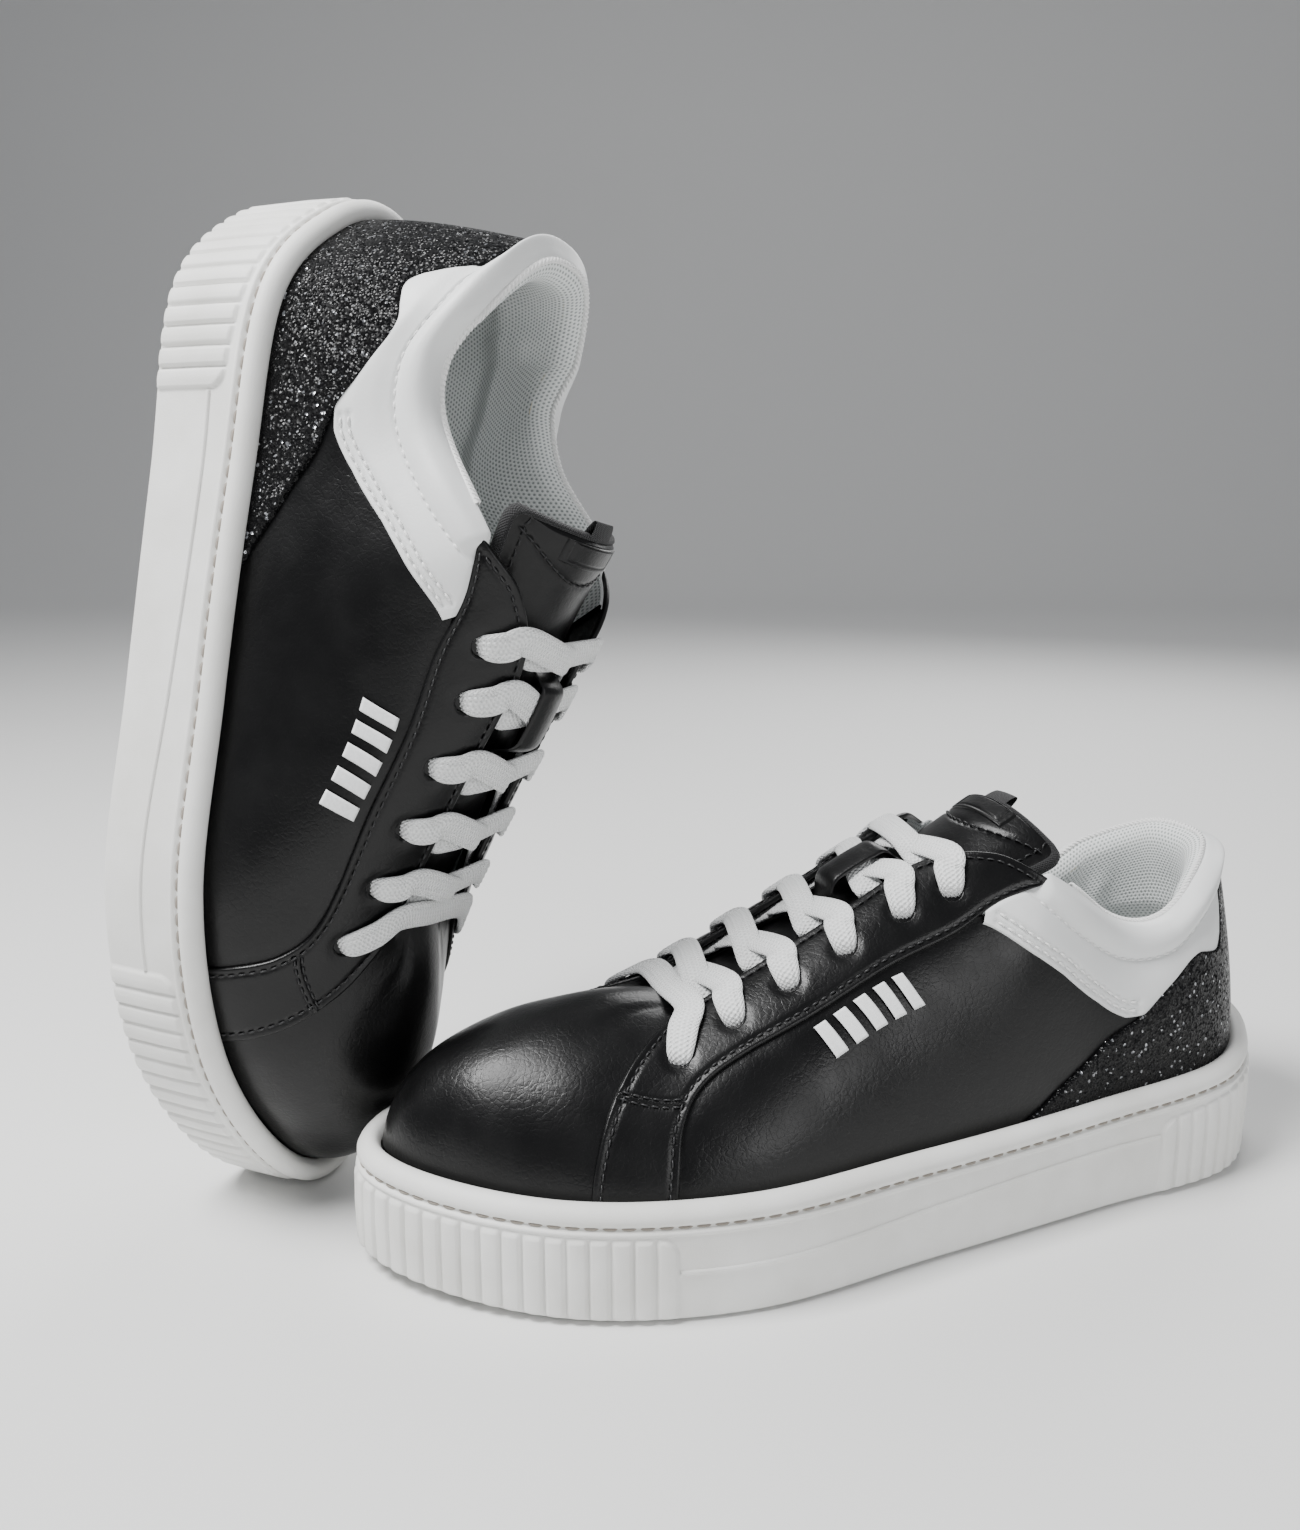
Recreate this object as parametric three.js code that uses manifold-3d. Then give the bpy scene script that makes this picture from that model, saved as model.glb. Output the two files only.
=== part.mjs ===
// A pair of lace-up platform sneakers: the left shoe stands flat and the right shoe stands on its toe.
// Both shoes are built from the same functions; the right one is the mirror image of the left one.
// Units are millimetres, +Z is up. Each shoe is drawn in its own frame: x runs from heel to toe,
// +y is the outer (lateral) side and z = 0 is the ground under the sole.
import * as THREE from 'three';
import { mergeVertices } from 'three/addons/utils/BufferGeometryUtils.js';
import Module from 'manifold-3d';

const wasm = await Module();
wasm.setup();

// ---------------------------------------------------------------- driving dimensions
const SHOE_LENGTH = 269;          // outsole, heel to toe
const BALL_WIDTH = 98.5;          // outsole across the ball of the foot
const HEEL_SOLE_HEIGHT = 37;      // ground to the top of the rim at the heel
const BALL_SOLE_HEIGHT = 29.5;    // ground to the top of the rim at the ball
const TOE_SPRING = 3.5;           // lift of the toe tip
const COLLAR_HEIGHT = 90;         // ground to the top of the collar at the heel
const TREAD_THICKNESS = 4;
const WALL_THICKNESS = 5.7;       // rubber wall of the cup sole
const CUP_FLOOR = 5;              // rubber floor of the cup sole
const BEAD_HEIGHT = 9;            // rounded top bead of the cup sole
const GROOVE_DEPTH = 1.2;         // sidewall stitch groove under the bead
const LEATHER = 1.6;              // outer leather thickness
const LINING = 0.9;
const FOAM = 5;                   // collar padding
const STIFFENER = 1.1;
const BOARD = 2;                  // insole board
const SOCKLINER = 4;
const TUCK = 5;                   // how far the upper goes down inside the cup sole
const GAP = 0.3;                  // clearance between touching pieces
const LAYER_GAP = 1;              // clearance between curved layers
const EYELETS = 6;                // per side
const LACE_WIDTH = 7.5;
const LACE_THICKNESS = 1.3;
const TONGUE_FOAM = 2.2;
const RIGHT_LEAN = 10;            // degrees that the right shoe leans back, sole upright
const RIGHT_TURN = -25.6;         // degrees from +X to the direction its upper faces
const LEFT_TURN = -159.46;        // degrees from +X to the left shoe's heel-to-toe line
const TOE_TO_TOE = [-49.28, 50.26]; // from the left toe to the right toe, on the ground plan

const SX = SHOE_LENGTH / 269;
const SY = BALL_WIDTH / 98.5;
const SZ = (COLLAR_HEIGHT - BALL_SOLE_HEIGHT) / (90 - 29.5);
// height of the upper above the ball rim keeps its proportion to the collar
const liftZ = (z) => BALL_SOLE_HEIGHT + (z - 29.5) * SZ;

// ---------------------------------------------------------------- plan outline and opening
// outline stations from the heel (0) to the toe (8): x, lateral y, medial y
const OUTLINE = [
  [0, 0, 0], [8, 21, -20], [32, 40.5, -37.5], [78, 44.6, -36.5], [133, 49, -39],
  [183, 52.5, -46], [226, 41.3, -42], [257, 18.5, -27], [269, -5, -5],
];
// opening edge: station, x, half width, z, then the shape of the wall under it:
// rise of the wall from the rim, crown (length of the roll-over) and slope of the roll-over in degrees
const OPENING = [
  [0, 17, 0, 90, 22, 14, 78],
  [1, 21, 14, 88.5, 22, 14, 78],
  [2, 37, 26, 81, 22, 18, 72],
  [2.45, 50, 29, 74, 20, 22, 64],
  [2.9, 66, 29.5, 75.5, 20, 24, 62],
  [3.45, 90.5, 30, 91.5, 26, 22, 60],
  [3.8, 103, 22, 97.5, 28, 21, 48],
  [4.3, 120, 13, 94, 26, 22, 30],
  [4.75, 146, 12.5, 81, 22, 19, 24],
  [5.2, 170, 12.5, 69.5, 18, 18, 22],
  [5.6, 188, 13, 61.5, 15, 18, 18],
  [6.3, 201, 10.5, 61, 19, 23, 12],
  [7.1, 206, 6, 63, 24, 29, 8],
  [8, 208, 0, 64, 24, 30, 7],
];
const STATIONS = 16;              // full turn of the station parameter: heel 0, toe 8, heel 16

// cubic through unevenly spaced knots, with finite-difference tangents
function spline(knots, values, s) {
  const last = knots.length - 1;
  let i = 0;
  while (i < last - 1 && s > knots[i + 1]) i += 1;
  const tangent = (j) => {
    const lo = Math.max(0, j - 1);
    const hi = Math.min(last, j + 1);
    return (values[hi] - values[lo]) / (knots[hi] - knots[lo]);
  };
  const h = knots[i + 1] - knots[i];
  const t = (s - knots[i]) / h;
  const t2 = t * t;
  const t3 = t2 * t;
  return (2 * t3 - 3 * t2 + 1) * values[i] + (t3 - 2 * t2 + t) * h * tangent(i)
    + (-2 * t3 + 3 * t2) * values[i + 1] + (t3 - t2) * h * tangent(i + 1);
}

// closed outline: mirror rows are appended so that the spline runs all the way round
const outlineKnots = [];
const outlineX = [];
const outlineY = [];
for (let k = -2; k <= STATIONS + 2; k += 1) {
  const m = (k + STATIONS) % STATIONS;
  const row = OUTLINE[m <= 8 ? m : STATIONS - m];
  outlineKnots.push(k);
  outlineX.push(row[0] * SX);
  outlineY.push((m <= 8 ? row[1] : row[2]) * SY);
}
function outlinePoint(u) {
  const s = ((u % STATIONS) + STATIONS) % STATIONS;
  return new THREE.Vector2(spline(outlineKnots, outlineX, s), spline(outlineKnots, outlineY, s));
}
// point moved inwards from the outline by a distance
function insetPoint(u, inset) {
  const p = outlinePoint(u);
  const d = outlinePoint(u + 0.05).sub(outlinePoint(u - 0.05)).normalize();
  return new THREE.Vector2(p.x + d.y * inset, p.y - d.x * inset);
}

const openingKnots = [];
const openingRows = [];
for (const row of OPENING) {
  openingKnots.push(row[0]);
  openingRows.push(row);
}
for (const row of OPENING.slice(1).reverse()) {
  if (row[0] < 8) {
    openingKnots.push(STATIONS - row[0]);
    openingRows.push([STATIONS - row[0], row[1], -row[2], row[3], row[4], row[5], row[6]]);
  }
}
openingKnots.push(STATIONS);
openingRows.push([STATIONS, ...OPENING[0].slice(1)]);
openingKnots.unshift(-1);
openingRows.unshift([-1, OPENING[1][1], -OPENING[1][2], ...OPENING[1].slice(3)]);
openingKnots.push(STATIONS + 1);
openingRows.push([STATIONS + 1, ...OPENING[1].slice(1)]);
function openingValue(u, column) {
  const s = ((u % STATIONS) + STATIONS) % STATIONS;
  return spline(openingKnots, openingRows.map((row) => row[column]), s);
}

// ---------------------------------------------------------------- heights of the sole
function springAt(x) {
  const start = 0.78 * SHOE_LENGTH;
  const f = Math.max(0, (x - start) / (SHOE_LENGTH - start));
  return TOE_SPRING * f * f;
}
function rimHeight(x) {
  const f = THREE.MathUtils.clamp(1 - x / (0.5 * SHOE_LENGTH), 0, 1);
  return BALL_SOLE_HEIGHT + (HEEL_SOLE_HEIGHT - BALL_SOLE_HEIGHT) * f * f + 0.6 * springAt(x);
}

// ---------------------------------------------------------------- surface of the upper
// (u, t): u is the station, t runs from 0 (tucked into the sole) to 1 (edge of the opening)
const RIM_INSET = WALL_THICKNESS + LAYER_GAP;
function upperPoint(u, t) {
  const base = insetPoint(u, RIM_INSET);
  const z0 = rimHeight(base.x) - TUCK;
  const top = new THREE.Vector3(openingValue(u, 1) * SX, openingValue(u, 2) * SY, liftZ(openingValue(u, 3)));
  const rise = openingValue(u, 4) * SZ;
  const crown = openingValue(u, 5);
  const slope = THREE.MathUtils.degToRad(openingValue(u, 6));
  const out = new THREE.Vector2(base.x - top.x, base.y - top.y).normalize();
  const a = new THREE.Vector3(base.x, base.y, z0);
  const b = new THREE.Vector3(base.x, base.y, z0 + rise);
  const c = new THREE.Vector3(
    top.x + out.x * crown * Math.cos(slope),
    top.y + out.y * crown * Math.cos(slope),
    top.z - crown * Math.sin(slope),
  );
  const s = 1 - t;
  return a.multiplyScalar(s * s * s)
    .addScaledVector(b, 3 * s * s * t)
    .addScaledVector(c, 3 * s * t * t)
    .addScaledVector(top, t * t * t);
}
function upperNormal(u, t) {
  const e = 0.02;
  const du = upperPoint(u + e, t).sub(upperPoint(u - e, t));
  const dt = upperPoint(u, Math.min(1, t + e)).sub(upperPoint(u, Math.max(0, t - e)));
  return dt.cross(du).normalize();
}
function upperAt(u, t, offset) {
  return upperPoint(u, t).addScaledVector(upperNormal(u, t), offset);
}

// ---------------------------------------------------------------- solids
function meshGeometry(points, faces) {
  const geometry = new THREE.BufferGeometry();
  const flat = points.flatMap((p) => [p.x, p.y, p.z]);
  geometry.setAttribute('position', new THREE.Float32BufferAttribute(flat, 3));
  geometry.setIndex(faces.flat());
  return geometry;
}
// closed shell between two grids of points; a ring has no side walls
function shell(outer, inner, columns, rows, ring = false) {
  const width = ring ? columns : columns + 1;
  const points = [];
  const faces = [];
  for (const side of [outer, inner]) {
    for (let j = 0; j <= rows; j += 1) {
      for (let i = 0; i < width; i += 1) points.push(side(i / columns, j / rows));
    }
  }
  const half = width * (rows + 1);
  const at = (side, i, j) => side * half + j * width + (ring ? i % columns : i);
  const quad = (a, b, c, d) => faces.push([a, b, c], [a, c, d]);
  for (let i = 0; i < columns; i += 1) {
    for (let j = 0; j < rows; j += 1) {
      quad(at(0, i, j), at(0, i + 1, j), at(0, i + 1, j + 1), at(0, i, j + 1));
      quad(at(1, i, j), at(1, i, j + 1), at(1, i + 1, j + 1), at(1, i + 1, j));
    }
    quad(at(0, i, 0), at(1, i, 0), at(1, i + 1, 0), at(0, i + 1, 0));
    quad(at(0, i, rows), at(0, i + 1, rows), at(1, i + 1, rows), at(1, i, rows));
  }
  if (!ring) {
    for (let j = 0; j < rows; j += 1) {
      quad(at(0, 0, j), at(0, 0, j + 1), at(1, 0, j + 1), at(1, 0, j));
      quad(at(0, columns, j), at(1, columns, j), at(1, columns, j + 1), at(0, columns, j + 1));
    }
  }
  return meshGeometry(points, faces);
}
// panel of the upper: corner curves are given in (u, t) as functions of the distance along the panel
function panel(lower, upper, columns, rows, outer, thickness) {
  const place = (depth) => (a, b) => {
    const [u0, t0] = lower(a);
    const [u1, t1] = upper(a);
    return upperAt(u0 + (u1 - u0) * b, t0 + (t1 - t0) * b, -depth);
  };
  return shell(place(outer), place(outer + thickness), columns, rows);
}
// straight run between the (u, t) points of a list
function runThrough(points) {
  const knots = points.map((_, i) => i / (points.length - 1));
  return (a) => [spline(knots, points.map((p) => p[0]), a), spline(knots, points.map((p) => p[1]), a)];
}

function toManifold(geometry) {
  const plain = geometry.clone();
  plain.deleteAttribute('normal');
  plain.deleteAttribute('uv');
  const merged = mergeVertices(plain, 1e-4);
  return new wasm.Manifold(new wasm.Mesh({
    numProp: 3,
    vertProperties: Float32Array.from(merged.attributes.position.array),
    triVerts: Uint32Array.from(merged.index.array),
  }));
}
function fromManifold(solid) {
  const mesh = solid.getMesh();
  const geometry = new THREE.BufferGeometry();
  geometry.setAttribute('position', new THREE.BufferAttribute(Float32Array.from(mesh.vertProperties), 3));
  geometry.setIndex(Array.from(mesh.triVerts));
  return geometry;
}

// closed body of rings that follow the outline; each ring is an inset and a height over x
const AROUND = 36;
function stack(rings) {
  const points = [];
  const faces = [];
  for (const [inset, height] of rings) {
    for (let i = 0; i < AROUND; i += 1) {
      const p = insetPoint((i / AROUND) * STATIONS, inset);
      points.push(new THREE.Vector3(p.x, p.y, height(p.x)));
    }
  }
  for (let k = 0; k + 1 < rings.length; k += 1) {
    for (let i = 0; i < AROUND; i += 1) {
      const n = (i + 1) % AROUND;
      const lower = k * AROUND;
      const upper = lower + AROUND;
      faces.push([lower + i, lower + n, upper + n], [lower + i, upper + n, upper + i]);
    }
  }
  // both ends are closed by rungs across the shoe, from heel to toe
  const last = (rings.length - 1) * AROUND;
  const cap = (a, b, c) => {
    faces.push([a, c, b]);
    faces.push([last + a, last + b, last + c]);
  };
  for (let i = 0; i < AROUND / 2; i += 1) {
    const b = i + 1;
    const c = AROUND - 1 - i;
    const d = (AROUND - i) % AROUND;
    if (i > 0) cap(i, c, d);
    if (b !== c) cap(i, b, c);
  }
  return meshGeometry(points, faces);
}

// turns every face outwards
function outward(geometry) {
  const position = geometry.attributes.position;
  const index = Array.from(geometry.index.array);
  const p = [new THREE.Vector3(), new THREE.Vector3(), new THREE.Vector3()];
  let volume = 0;
  for (let k = 0; k < index.length; k += 3) {
    p.forEach((v, j) => v.fromBufferAttribute(position, index[k + j]));
    volume += p[0].dot(p[1].clone().cross(p[2]));
  }
  if (volume < 0) {
    for (let k = 0; k < index.length; k += 3) [index[k + 1], index[k + 2]] = [index[k + 2], index[k + 1]];
    geometry.setIndex(index);
  }
  return geometry;
}

// ---------------------------------------------------------------- sole
const TREAD_INSET = 1.5;
const FLOOR_BOTTOM = TREAD_THICKNESS + GAP;
const FLOOR_TOP = FLOOR_BOTTOM + CUP_FLOOR;
const tread = () => stack([
  [TREAD_INSET, springAt],
  [TREAD_INSET, (x) => springAt(x) + TREAD_THICKNESS],
]);
function cupSole() {
  const fromGround = (z) => (x) => springAt(x) + z;
  const fromRim = (z) => (x) => rimHeight(x) + z;
  const bead = -BEAD_HEIGHT;
  return stack([
    [TREAD_INSET, fromGround(FLOOR_BOTTOM)],
    [0.4, fromGround(FLOOR_BOTTOM + 1.5)],
    [0, fromRim(bead - 2.5)],
    [GROOVE_DEPTH, fromRim(bead - 1)],
    [GROOVE_DEPTH, fromRim(bead + 0.5)],
    [0.3, fromRim(bead + 2)],
    [0.4, fromRim(-3.5)],
    [1.8, fromRim(-1)],
    [3.6, fromRim(0)],
    [WALL_THICKNESS, fromRim(-1.2)],
    [WALL_THICKNESS, fromGround(FLOOR_TOP)],
  ]);
}
const boardTop = (x) => rimHeight(x) - TUCK - GAP;
const INSIDE = RIM_INSET + LEATHER + LINING + 1;   // inset of the space inside the lasted upper
const filler = () => stack([
  [WALL_THICKNESS + GAP, (x) => springAt(x) + FLOOR_TOP + GAP],
  [WALL_THICKNESS + GAP, (x) => boardTop(x) - BOARD - GAP],
]);
const insoleBoard = () => stack([
  [RIM_INSET, (x) => boardTop(x) - BOARD],
  [RIM_INSET, boardTop],
]);
const SOCKLINER_INSET = INSIDE + 3;
const sockliner = () => stack([
  [SOCKLINER_INSET, (x) => boardTop(x) + GAP],
  [SOCKLINER_INSET - 0.4, (x) => boardTop(x) + GAP + SOCKLINER / 2],
  [SOCKLINER_INSET + 0.4, (x) => boardTop(x) + GAP + SOCKLINER],
]);

// ---------------------------------------------------------------- panels of the upper, in (u, t)
const SEAM = [
  [5.42, 0], [5.42, 0.2], [5.42, 0.4], [5.34, 0.53], [5.12, 0.58],
  [4.75, 0.59], [4.35, 0.615], [4, 0.67], [3.78, 0.77], [3.52, 0.93],
];
const FACING_EDGE = [
  [5.92, 0], [5.91, 0.25], [5.92, 0.55], [5.86, 0.8], [5.64, 0.98],
  [5.1, 1], [4.6, 1], [4.1, 1], [3.75, 1], [3.47, 1],
];
const QUARTER_TOP = [
  [5.39, 0.38], [5.31, 0.515], [5.11, 0.566], [4.75, 0.577], [4.35, 0.602], [3.98, 0.658],
  [3.84, 0.7], [3.55, 0.675], [3.26, 0.645], [3, 0.585], [2.84, 0.51],
];
const QUARTER_BOTTOM = [
  [5.39, 0], [5.15, 0], [4.9, 0], [4.6, 0], [4.3, 0], [4.05, 0],
  [3.8, 0], [3.46, 0.01], [3.27, 0.115], [3.07, 0.265], [2.93, 0.39],
];
const COLLAR_BOTTOM = [
  [3.79, 0.72], [3.55, 0.695], [3.26, 0.665], [3, 0.61], [2.8, 0.54], [2.66, 0.6],
  [2.5, 0.72], [2.3, 0.785], [2.1, 0.76], [1.9, 0.69], [1.7, 0.7], [1.58, 0.8], [1.47, 0.92], [1.4, 0.97],
];
const COLLAR_TOP_START = 3.38;
const COLLAR_TOP_END = 1.38;
const COUNTER_TOP = [
  [3.34, 0.05], [3.25, 0.09], [3.05, 0.25], [2.87, 0.42], [2.72, 0.53], [2.56, 0.66], [2.38, 0.745],
  [2.2, 0.735], [2.02, 0.67], [1.8, 0.63], [1.58, 0.69], [1.44, 0.84], [1.32, 0.96], [0.6, 0.965], [0, 0.965],
];
// rear edge of the vamp, which follows the front edge of the eyestay: height t, station
const VAMP_EDGE = [[0, 5.95], [0.25, 5.94], [0.55, 5.95], [0.8, 5.9], [1, 5.67]];
// the same list on the medial side
const other = (points) => points.map(([u, t]) => [STATIONS - u, t]);

const eyestayBlank = (side) => panel(
  runThrough(side(SEAM)), runThrough(side(FACING_EDGE)), 20, 3, 0, LEATHER,
);
const quarter = (side) => panel(
  runThrough(side(QUARTER_BOTTOM)), runThrough(side(QUARTER_TOP)), 14, 3, 0, LEATHER,
);
function collarPanel(side) {
  const top = COLLAR_BOTTOM.map((_, i, all) => [
    COLLAR_TOP_START + ((COLLAR_TOP_END - COLLAR_TOP_START) * i) / (all.length - 1), 1,
  ]);
  return panel(runThrough(side(COLLAR_BOTTOM)), runThrough(side(top)), 18, 2, 0, LEATHER);
}
function heelOverlay() {
  const medial = COUNTER_TOP.slice(0, -1).reverse().map(([u, t]) => [-u, t]);
  const top = COUNTER_TOP.concat(medial);
  return panel(runThrough(top.map(([u]) => [u, 0])), runThrough(top), 38, 2, 0, LEATHER);
}
function vamp() {
  const edge = (t) => spline(VAMP_EDGE.map((p) => p[0]), VAMP_EDGE.map((p) => p[1]), t);
  const place = (depth) => (a, b) => upperAt(edge(b) + (STATIONS - 2 * edge(b)) * a, b, -depth);
  return shell(place(0), place(LEATHER), 20, 5);
}
// band of the upper between two stations and two heights, under the outer leather
function band(from, to, low, high, columns, rows, depth, thickness) {
  const place = (extra) => (a, b) => {
    const t = low + (high - low) * b;
    return upperAt(from + (to - from) * a, t, -(typeof depth === 'number' ? depth : depth(t)) - extra);
  };
  return shell(place(0), place(thickness), columns, rows);
}
const UNDER_LEATHER = LEATHER + LAYER_GAP;
const UNDER_STIFFENER = UNDER_LEATHER + STIFFENER + LAYER_GAP;
const toePuff = () => band(6.6, 9.4, 0.1, 0.58, 14, 2, UNDER_LEATHER, STIFFENER);
const heelStiffener = () => band(2.5, -2.5, 0.08, 0.56, 20, 2, UNDER_LEATHER + 0.1, STIFFENER);
const vampLining = () => band(5.98, 10.02, 0.08, 0.68, 16, 3, UNDER_STIFFENER, LINING);
const quarterLining = (side) => {
  const [a, b] = side([[3.5, 0], [5.94, 0]]);
  return band(a[0], b[0], 0.04, 0.56, 8, 2, UNDER_LEATHER, LINING);
};
const FOAM_START = 0.62;
const collarFoam = () => band(3, -3, FOAM_START, 0.965, 26, 2, UNDER_LEATHER, FOAM);
function liningDepth(t) {
  const inner = UNDER_LEATHER + FOAM + LAYER_GAP;
  return UNDER_STIFFENER + (inner - UNDER_STIFFENER) * THREE.MathUtils.smoothstep(t, 0.4, FOAM_START - 0.04);
}
const collarLining = () => band(3.1, -3.1, 0.08, 0.98, 26, 4, liningDepth, LINING);

// raised motif on the lateral quarter: a thin carrier for five slanted bars
const EMBLEM = { from: 4.72, to: 4.1, low: 0.42, high: 0.53, thickness: 1 };
const emblem = () => panel(
  (a) => [EMBLEM.from + (EMBLEM.to - EMBLEM.from) * a, EMBLEM.low + 0.02 * a],
  (a) => [EMBLEM.from + (EMBLEM.to - EMBLEM.from) * a, EMBLEM.high + 0.02 * a],
  6, 1, -GAP - EMBLEM.thickness, EMBLEM.thickness,
);

// ---------------------------------------------------------------- tongue
// middle line of the tongue's upper face: x, z, half width and thickness as a share of the full one
const TONGUE_LINE = [
  [212, 58.4, 15, 0.5], [204, 58.2, 17, 0.6], [188, 58.8, 19, 0.8], [170, 66.4, 20, 1], [146, 77.4, 20.5, 1],
  [120, 89.6, 21, 1], [103, 97.8, 22.5, 1], [92, 104, 24, 1], [88, 106, 22, 0.9],
];
const TONGUE_DROP = 0.0195;       // parabola of the cross-section
const tongueKnots = TONGUE_LINE.map((_, i) => i / (TONGUE_LINE.length - 1));
const tongueValue = (column, s) => spline(tongueKnots, TONGUE_LINE.map((row) => row[column]), s);
function tonguePoint(s, across, depth) {
  const e = 0.01;
  const dx = tongueValue(0, Math.min(1, s + e)) - tongueValue(0, Math.max(0, s - e));
  const dz = tongueValue(1, Math.min(1, s + e)) - tongueValue(1, Math.max(0, s - e));
  const along = new THREE.Vector2(dx, dz).normalize();
  const y = across * tongueValue(2, s);
  const sink = TONGUE_DROP * y * y + depth * tongueValue(3, s);
  return new THREE.Vector3(
    (tongueValue(0, s) - along.y * sink) * SX,
    y * SY,
    liftZ(tongueValue(1, s) - Math.abs(along.x) * sink),
  );
}
function tongueLayer(depth, thickness, from = 0, to = 1, reach = 1) {
  const place = (extra) => (a, b) => tonguePoint(from + (to - from) * a, (2 * b - 1) * reach, depth + extra);
  return shell(place(0), place(thickness), 9, 4);
}
const tongueLeather = () => tongueLayer(0, LEATHER);
const tongueFoam = () => tongueLayer(LEATHER + 2 * GAP, TONGUE_FOAM, 0.12, 0.97, 0.94);
const tongueLining = () => tongueLayer(LEATHER + TONGUE_FOAM + 3 * GAP, LINING, 0.12, 0.96, 0.9);
const tonguePatch = () => {
  const place = (extra) => (a, b) => tonguePoint(0.84 + 0.12 * a, (2 * b - 1) * 0.5, extra - 0.9 - GAP);
  return shell(place(0), place(0.9), 3, 3);
};

// ---------------------------------------------------------------- lace
const EYELET_START = 5.52;        // station of the front eyelet
const EYELET_STEP = 0.298;
const EYELET_T = [0.71, 0.76, 0.78, 0.78, 0.79, 0.83];
const EYELET_RADIUS = 3;
const LACE_IN_HOLE = 4.1;
const UNDER_FACING = LEATHER + GAP + LACE_THICKNESS / 2;
// a flat lace's edges sink towards the rounded facing by its sag
const FACING_RADIUS = 0.3 * BALL_WIDTH;
const LACE_SAG = LACE_WIDTH ** 2 / (8 * FACING_RADIUS);
const LACE_GAP = 0.22;
const OVER_FACING = LACE_GAP + 2 * LACE_SAG + LACE_THICKNESS / 2;
const OVER_THROAT = OVER_FACING + 0.3;
const UNDER_THROAT = UNDER_FACING + 1;
const eyeletPlace = (side, i) => side([[EYELET_START - EYELET_STEP * i, EYELET_T[i]]])[0];

// box between two frames, each a centre with a width vector and a thickness vector
function prism(frames) {
  const points = [];
  const faces = [];
  for (const [c, w, n] of frames) {
    for (const [across, up] of [[1, 1], [-1, 1], [-1, -1], [1, -1]]) {
      points.push(c.clone().addScaledVector(w, across).addScaledVector(n, up));
    }
  }
  for (let k = 0; k + 1 < frames.length; k += 1) {
    for (let i = 0; i < 4; i += 1) {
      const a = 4 * k + i;
      const b = 4 * k + ((i + 1) % 4);
      faces.push([a, b, b + 4], [a, b + 4, a + 4]);
    }
  }
  const end = 4 * (frames.length - 1);
  faces.push([0, 2, 1], [0, 3, 2], [end, end + 1, end + 2], [end, end + 2, end + 3]);
  return outward(meshGeometry(points, faces));
}
// flat strand through guide points [place, surface normal, width]
function strand(guides, steps = 2) {
  const knots = guides.map((_, i) => i);
  const pick = (get, s) => new THREE.Vector3(
    ...['x', 'y', 'z'].map((k) => spline(knots, guides.map((g) => get(g)[k]), s)),
  );
  const frames = [];
  const last = guides.length - 1;
  for (let i = 0; i <= last * steps; i += 1) {
    const s = i / steps;
    const c = pick((g) => g[0], s);
    const along = pick((g) => g[0], Math.min(last, s + 0.05)).sub(pick((g) => g[0], Math.max(0, s - 0.05)));
    const n = pick((g) => g[1], s);
    const w = along.clone().cross(n).normalize();
    n.crossVectors(w, along).normalize();
    const width = spline(knots, guides.map((g) => g[2]), s);
    frames.push([c, w.multiplyScalar(width / 2), n.multiplyScalar(LACE_THICKNESS / 2)]);
  }
  return prism(frames);
}
function eyeletFrame(side, i) {
  const [u, t] = eyeletPlace(side, i);
  const n = upperNormal(u, t);
  return { u, t, n, at: (offset) => upperAt(u, t, offset) };
}
function throatEdge(side, i, offset) {
  const [u] = side([[EYELET_START - EYELET_STEP * i, 1]])[0];
  return [upperAt(u, 0.985, offset), upperNormal(u, 0.97)];
}
const lateral = (points) => points;
const UP = new THREE.Vector3(0.35, 0, 0.94).normalize();
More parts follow.
